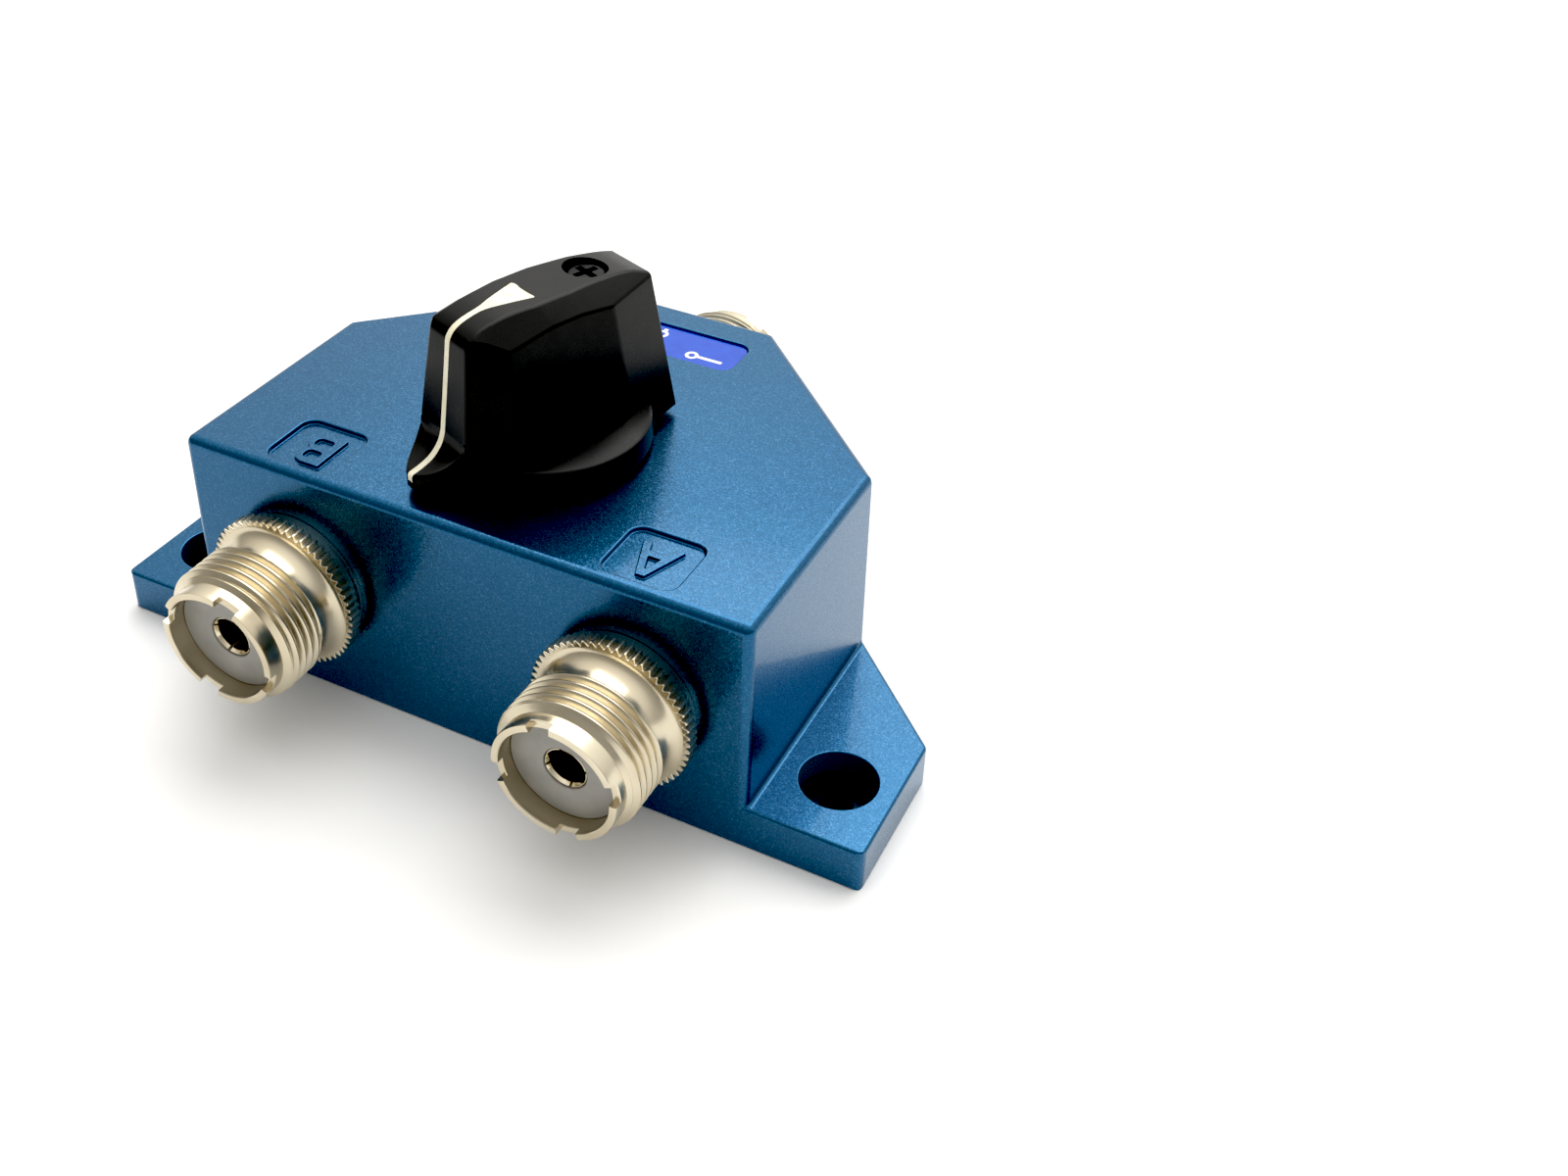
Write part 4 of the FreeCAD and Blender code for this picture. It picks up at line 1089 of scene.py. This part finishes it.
def arch_line():
    """Side outline of the knob's top, from tail to nose."""
    return [(-15.6, 15.9), (-15.0, 16.1), (-12.1, 17.12), (-10.6, 17.60), (-9.3, 17.88), (-8.0, 18.07), (-6.7, 18.20), (-5.4, 18.29), (-4.0, 18.34), (-2.6, 18.355),
            (-1.0, 18.35), (0.3, 18.33), (1.6, 18.295), (3.5, 18.24), (5.0, 18.165), (6.1, 18.07), (7.1, 17.93), (8.0, 17.76), (8.95, 17.52), (9.45, 17.34), (9.95, 17.10),
            (10.35, 16.80), (10.65, 16.45), (10.86, 16.10), (10.97, 15.75)]


SPAN = [-1.0, -0.86, -0.55, 0.0, 0.55, 0.86, 1.0]


def inlay_rows(tree):
    """Rows of surface points across the painted line, each with its outward direction."""
    line = [(16.77, 1.75), (16.78, 2.0)] + FOOT_LINE
    line += [(12.41, 6.24), (12.12, 8.1), (11.83, 10.0), (11.54, 11.9), (11.26, 13.8), (11.07, 15.1)]
    line += [p for p in reversed(arch_line()) if p[0] > 7.3 and p[1] > 15.2]
    half = [0.42] * len(line)
    top = [p for p in arch_line() if p[0] < 9.5]
    tz = lambda u: float(np.interp(u, [p[0] for p in top], [p[1] for p in top]))
    for u, h in [(7.2, 0.43), (6.6, 0.53), (6.2, 0.64), (5.2, 0.98), (4.0, 1.34), (2.8, 1.70), (1.95, 1.95), (1.70, 2.02)]:
        line.append((u, tz(u)))
        half.append(h)
    rows, n = [], len(line)
    for i, (u, z) in enumerate(line):
        p0, p1 = line[max(i - 1, 0)], line[min(i + 1, n - 1)]
        d = Vector((p1[0] - p0[0], 0, p1[1] - p0[1])).normalized()
        nrm = Vector((d.z, 0, -d.x))
        if nrm.x + nrm.z < 0:
            nrm = -nrm
        row = []
        for f in SPAN:
            back = 0.36 * (1 - f * f) if i == n - 1 else (0.17 * (1 - f * f) if i == n - 2 else 0.0)
            o = Vector((u - back, f * half[i], z)) + nrm * 1.2
            hit = tree.ray_cast(o, -nrm)[0]
            row.append(hit if hit is not None and (hit - o).length < 2.6 else o - nrm * 1.2)
        rows.append((row, nrm))
    return rows


def sweep(sk, rows, wide):
    """Closed strip over the rows; each ring is a list of (share of the half width, height above the surface)."""
    rings = []
    for row, nrm, shape in rows:
        ring = []
        for f, h in shape:
            base = row[SPAN.index(f)]
            mid = row[3]
            q = mid + (base - mid) * wide
            ring.append(q + nrm * h)
        rings.append(sk.pts(ring))
    for a, b in zip(rings, rings[1:]):
        sk.strip(a, b)
    sk.face(rings[0])
    sk.face(rings[-1])


def inlay(rows):
    """Painted line down the nose with an arrow head on top; its face is slightly hollow between its edges."""
    lift = {-1.0: -0.05, -0.86: -0.015, -0.55: -0.05, 0.0: -0.07, 0.55: -0.05, 0.86: -0.015, 1.0: -0.05}
    sk = Skin()
    sweep(sk, [(p, n, [(f, lift[f]) for f in SPAN] + [(f, -0.3) for f in reversed(SPAN)]) for p, n in rows], 0.985)
    put("pointer_line", sk.mapped(knob_to_part), MAT["cream_paint"], "selector", "pointer_inlay", limit=40.0)


def knob_bar():
    # lines up the nose: base, rim, radius of the rim, point on the crease
    nose = [((16.76, 0.0), (16.78, 0.0, 2.70), 0.45, 0.0), ((16.70, 0.66), (16.71, 0.65, 2.75), 0.45, 0.65), ((16.26, 1.37), (16.26, 1.36, 2.87), 0.42, 1.31),
            ((15.64, 2.07), (15.60, 2.06, 3.06), 0.38, 1.97), ((14.84, 2.72), (14.77, 2.70, 3.42), 0.32, 2.63), ((13.88, 3.35), (13.76, 3.27, 4.08), 0.24, 3.29),
            ((12.95, 3.96), (12.82, 3.70, 5.10), 0.14, 3.94)]
    base = halfway([(b[0], b[1], 1.0) for b, r, rho, wc in nose])
    rims = halfway([r + (rho, wc) for b, r, rho, wc in nose])
    up = [(12.41, 0.998, CREASE + 0.14), (12.12, 3.80 / 3.94, 8.1), (11.54, 3.50 / 3.94, 11.9), (10.97, 3.15 / 3.94, 15.75), (10.40, 2.83 / 3.94, 19.6)]
    tracks = []
    for i, (b, r) in enumerate(zip(base, rims)):
        p, q = rims[max(i - 1, 0)], rims[min(i + 1, len(rims) - 1)]
        t = Vector((q[0] - p[0], q[1] - p[1])).normalized()
        inward = (-1.0, 0.0) if i == 0 else ((-t.y, t.x) if i < len(rims) - 1 else (-0.8, 0.2))
        col = foot_track(b, r[:3], r[3], inward, (12.43, r[4], CREASE))
        if i == len(rims) - 1:
            col[-4:] = [(p[0], p[1] - d, p[2]) for p, d in zip(col[-4:], (0.02, 0.05, 0.08, 0.11))]
        for u, share, z in up:
            col.append((u, r[4] * share, z))
        tracks.append(col)
    zs_nose_edge = [p[2] for p in tracks[-1]]

    def line_track(p0, p1):
        """Straight edge from height 1.0 to 19.6 sampled at the rows' heights."""
        out = []
        for z in zs_nose_edge:
            t = (z - 1.0) / (19.6 - 1.0)
            out.append((p0[0] + (p1[0] - p0[0]) * t, p0[1] + (p1[1] - p0[1]) * t, z))
        return out

    fc = line_track((8.77, 7.13), (7.08, 5.21))
    rc = line_track((-7.07, 7.13), (-5.08, 5.21))
    tc = line_track((-14.47, 4.87), (-11.77, 3.17))
    ne = tracks[-1]
    mids = []
    for f in (0.25, 0.5, 0.75):
        mids.append([tuple(ne[k][i] * (1 - f) + fc[k][i] * f for i in range(3)) for k in range(len(ne))])
    half = tracks + mids + [fc, rc, tc]
    full = half + [[(p[0], -p[1], p[2]) for p in col] for col in reversed(half[1:])]
    sk = Skin()
    cols = [sk.pts(c) for c in full]
    m = len(cols)
    for i in range(m):
        a, b = cols[i], cols[(i + 1) % m]
        sk.strip(a, b, closed=False)
    sk.face([c[0] for c in cols], True)
    sk.face([c[-1] for c in cols], True)
    me = mesh_from("bar", sk)
    bm = bmesh.new()
    bm.from_mesh(me)

    def shave(p, n, above=None):
        faces = [f for f in bm.faces if above is None or all(v.co.z > above * MM for v in f.verts)]
        geom = list({v for f in faces for v in f.verts}) + list({e for f in faces for e in f.edges}) + faces
        res = bmesh.ops.bisect_plane(bm, geom=geom, dist=1e-8, plane_co=Vector(p) * MM, plane_no=Vector(n), clear_outer=True)
        rim = [e for e in res["geom_cut"] if isinstance(e, bmesh.types.BMEdge)]
        if rim:
            bmesh.ops.contextual_create(bm, geom=rim)

    line = arch_line()
    for (u0, z0), (u1, z1) in zip(line, line[1:]):
        nrm = Vector((-(z1 - z0), 0, (u1 - u0))).normalized()
        shave((u0, 0, z0), nrm, 7.9 if nrm.x > nrm.z * 1.2 else None)
    planes = [((-6.6, 3.00, 18.22), (-11.3, 2.90, 17.40), (-8.52, 4.57, 16.58)), ((-1.4, 3.45, 18.37), (-6.0, 3.05, 18.28), (-4.57, 5.54, 16.42)),
              ((2.9, 3.40, 18.28), (-1.4, 3.45, 18.37), (0.33, 5.51, 16.66)), ((2.9, 3.40, 18.28), (7.3, 3.05, 17.88), (5.17, 5.58, 16.05)),
              ((7.3, 3.05, 17.88), (9.5, 3.00, 17.35), (8.2, 4.95, 16.3))]
    for sg in (1, -1):
        for p, q, r in planes:
            P, Q, R = [Vector((u, w * sg, z)) for u, w, z in (p, q, r)]
            n = (Q - P).cross(R - P).normalized()
            if n.z < 0:
                n = -n
            shave(P, n)
    bmesh.ops.remove_doubles(bm, verts=bm.verts, dist=0.02 * MM)
    bmesh.ops.dissolve_degenerate(bm, edges=bm.edges, dist=0.005 * MM)
    bmesh.ops.recalc_face_normals(bm, faces=bm.faces)
    # round the real edges
    sel = []
    for e in bm.edges:
        if len(e.link_faces) != 2:
            continue
        ang = math.degrees(e.calc_face_angle_signed(0.0))
        mid = (e.verts[0].co + e.verts[1].co) / 2 / MM
        if ang > 14.5 and mid.z > 1.2 and not (mid.z < CREASE + 0.05 and mid.x > 12.2):
            sel.append(e)
    bmesh.ops.bevel(bm, geom=sel, offset=0.26 * MM, offset_type="OFFSET", segments=3, profile=0.5, affect="EDGES", clamp_overlap=False, loop_slide=True)
    bmesh.ops.remove_doubles(bm, verts=bm.verts, dist=0.004 * MM)
    orient(bm)
    bm.to_mesh(me)
    bm.free()
    return me


def knob():
    bar = knob_bar()
    skirt = Skin()
    revolve(skirt, [(0, 0.6), (11.52, 0.6), (11.66, 0.67), (11.7, 0.85), (11.61, 2.95), (11.56, 3.12), (11.42, 3.24), (11.2, 3.32), (10.5, 3.5), (9.8, 3.66), (9.0, 3.83), (8.2, 3.99), (7.4, 4.13), (6.5, 4.25), (0, 4.5)], 180)
    sk_me = mesh_from("skirt", skirt)
    tree = BVHTree.FromPolygons([v.co / MM for v in bar.vertices], [tuple(f.vertices) for f in bar.polygons])
    rows = inlay_rows(tree)
    groove = Skin()
    sweep(groove, [(p, n, [(f, 0.35) for f in SPAN] + [(f, -0.14) for f in reversed(SPAN)]) for p, n in rows], 1.0)
    both = boolean(boolean(bar, [mesh_from("groove", groove)]), [sk_me], "UNION")
    cuts = []
    c = Skin()
    revolve(c, [(0, 15.7), (2.27, 15.7), (2.32, 15.76), (2.32, 17.95), (2.44, 18.30), (2.44, 21.0), (0, 21.0)], 72, (-6.2, 0))
    cuts.append(mesh_from("c1", c))
    c = Skin()
    revolve(c, [(0, -1), (1.6, -1), (1.6, 15.9), (0, 15.9)], 40, (-6.2, 0))
    cuts.append(mesh_from("c2", c))
    c = Skin()
    revolve(c, [(0, -1), (5.15, -1), (5.15, 3.1), (0, 3.1)], 56, (0, 0))
    cuts.append(mesh_from("c3", c))
    c = Skin()
    a = c.pts([(x, y, -1) for x, y in rrect(-9.55, 0.0, -3.65, 3.65, 0.6, 4)])
    b = c.pts([(x, y, 3.1) for x, y in rrect(-9.55, 0.0, -3.65, 3.65, 0.6, 4)])
    c.strip(a, b), c.face(a), c.face(b)
    cuts.append(mesh_from("c4", c))
    c = Skin()
    a = c.pts([(x, y, -1) for x, y in rrect(0.5, 9.2, -3.0, 3.0, 1.0, 5)])
    b = c.pts([(x, y, 14.0) for x, y in rrect(0.5, 9.2, -3.0, 3.0, 1.0, 5)])
    c.strip(a, b), c.face(a), c.face(b)
    cuts.append(mesh_from("c5", c))
    me = boolean(both, cuts)
    for v in me.vertices:
        v.co = Vector(knob_to_part(v.co / MM)) * MM
    bm = bmesh.new()
    bm.from_mesh(me)
    bmesh.ops.remove_doubles(bm, verts=bm.verts, dist=0.002 * MM)
    orient(bm)
    bm.to_mesh(me)
    bm.free()
    me.name = "knob_moulding"
    me.materials.clear()
    me.polygons.foreach_set("use_smooth", np.ones(len(me.polygons), bool))
    set_normals(me, 32.0)
    me.update()
    place("knob_moulding", me, MAT["black_plastic"], "selector", "knob")
    inlay(rows)


knob()


def knob_screw():
    sk = Skin()
    top = 17.7
    mouth = cross_recess(sk, -6.2, 0, top, 1.4, 0.36, 1.2)
    prof = [(1.88, top - 0.02), (2.04, top - 0.12), (2.14, top - 0.32), (2.17, top - 0.6), (2.17, 15.74), (1.5, 15.74), (1.5, 1.3), (1.2, 1.1)]
    loops = [sk.pts([(x, y, z) for x, y in circ(-6.2, 0, r, 64)]) for r, z in [(1.62, top)] + prof]
    sk.region([loops[0], mouth])
    for a, b in zip(loops, loops[1:]):
        sk.strip(a, b)
    sk.face(loops[-1], True)
    put("knob_screw_black", sk.mapped(knob_to_part), MAT["black_screw"], "selector", "knob_screw")


knob_screw()

# ------------------------------------------------------------------ inner CAD nodes that stay as they are
FINISH = {
    "support_post": "white_plastic", "contact_strip_a": "strip_brass", "contact_strip_b": "strip_brass", "contact_strip_com": "strip_brass",
    "shaft_bushing": "contact_brass", "wave_washer": "bright_steel", "detent_ball": "bright_steel", "detent_spring": "bright_steel",
    "stop_pin": "bright_steel", "switch_shaft": "bright_steel", "retaining_ring": "bright_steel", "rotor": "white_plastic",
    "rotor_blade": "strip_brass", "drive_plate": "bright_steel",
    "centre_contact_a": "contact_brass", "centre_contact_b": "contact_brass", "centre_contact_com": "contact_brass",
}
for node, finish in FINISH.items():
    o = NODES[node]
    o.data.materials.clear()
    o.data.materials.append(MAT[finish])
for port in ("a", "b", "com"):
    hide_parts("centre_contact_" + port)

# ------------------------------------------------------------------ floor, light and camera
def floor():
    n, half = 24, 1.6
    me = bpy.data.meshes.new("floor")
    bm = bmesh.new()
    bmesh.ops.create_grid(bm, x_segments=n, y_segments=n, size=half)
    bm.to_mesh(me)
    bm.free()
    o = bpy.data.objects.new("floor", me)
    o.location = (0, 0.1, -0.00002)
    bpy.context.scene.collection.objects.link(o)
    m = Nodes("floor_white")
    # shade on the table right under the two ear holes, hidden by the ears elsewhere
    near, z = m.near_ear_holes(0.0035, 0.0045, y0=-0.1)
    pale = m.ramp(m.noise(3.0, 2.0), [(0.3, (0.95, 0.95, 0.947)), (0.7, (0.965, 0.965, 0.962))])
    m.link(m.mix(near, pale, (0.006, 0.007, 0.008)), m.bsdf.inputs["Base Color"])
    m.set(Roughness=0.7, Specular_IOR_Level=0.2)
    me.materials.append(m.mat)


floor()


def area(name, loc, target, size, power, colour=(1, 1, 1), shape="RECTANGLE", size_y=None):
    li = bpy.data.lights.new(name, "AREA")
    li.shape, li.size, li.energy, li.color = shape, size, power, colour
    if shape == "RECTANGLE":
        li.size_y = size_y or size
    o = bpy.data.objects.new(name, li)
    o.location = loc
    o.rotation_mode = "QUATERNION"
    o.rotation_quaternion = (Vector(target) - Vector(loc)).to_track_quat("-Z", "Y")
    bpy.context.scene.collection.objects.link(o)
    return o


area("soft_key", (-0.05, 0.45, 0.80), (0.0, 0.0, 0.0), 0.9, 4.0, (1.0, 0.995, 0.98), size_y=0.7)

world = bpy.data.worlds.new("studio")
bpy.context.scene.world = world
world.use_nodes = True
wt = world.node_tree
wt.nodes.clear()
wo = wt.nodes.new("ShaderNodeOutputWorld")
bg = wt.nodes.new("ShaderNodeBackground")
tc = wt.nodes.new("ShaderNodeTexCoord")
dot = wt.nodes.new("ShaderNodeVectorMath")
dot.operation = "DOT_PRODUCT"
dot.inputs[1].default_value = (0.0, 0.5, 0.866)
rp = wt.nodes.new("ShaderNodeValToRGB")
mr = wt.nodes.new("ShaderNodeMapRange")
mr.inputs["From Min"].default_value = -1.0
rp.color_ramp.elements[0].position = 0.25
rp.color_ramp.elements[0].color = (0.19, 0.185, 0.178, 1)
rp.color_ramp.elements[1].position = 1.0
rp.color_ramp.elements[1].color = (1.0, 1.0, 1.0, 1)
for at, v in ((0.40, 0.28), (0.50, 0.32), (0.63, 0.42), (0.75, 0.67), (0.93, 0.96)):
    rp.color_ramp.elements.new(at).color = (v, v * 0.99, v * 0.965, 1)
wt.links.new(tc.outputs["Generated"], dot.inputs[0])
wt.links.new(dot.outputs["Value"], mr.inputs["Value"])
wt.links.new(mr.outputs[0], rp.inputs[0])
wt.links.new(rp.outputs[0], bg.inputs[0])
bg.inputs[1].default_value = 1.2
wt.links.new(bg.outputs[0], wo.inputs[0])

sc = bpy.context.scene
sc.view_settings.view_transform = "Standard"
sc.view_settings.look = "None"
sc.view_settings.exposure = 0.0
sc.view_settings.gamma = 1.0
sc.view_settings.use_curve_mapping = True
levels = sc.view_settings.curve_mapping
levels.black_level = (0.022, 0.022, 0.022)
levels.white_level = (0.83, 0.83, 0.83)
levels.update()

cam = bpy.data.cameras.new("camera")
cam.sensor_width = 36.0
cam.lens = 36.491
cam.shift_x, cam.shift_y = 0.04345, 0.00215
cam.clip_start, cam.clip_end = 0.01, 20.0
co = bpy.data.objects.new("camera", cam)
R = Vector((0.8905546441, 0.4542263355, 0.0243076534))
U = Vector((-0.3005131168, 0.5473868928, 0.7810630296))
D = Vector((-0.3414737069, 0.7028840770, -0.6239789113))
C = Vector((79.54089724, -109.98672820, 122.09308929)) * MM
co.matrix_world = Matrix(((R.x, U.x, -D.x, C.x), (R.y, U.y, -D.y, C.y), (R.z, U.z, -D.z, C.z), (0, 0, 0, 1)))
sc.collection.objects.link(co)
sc.camera = co
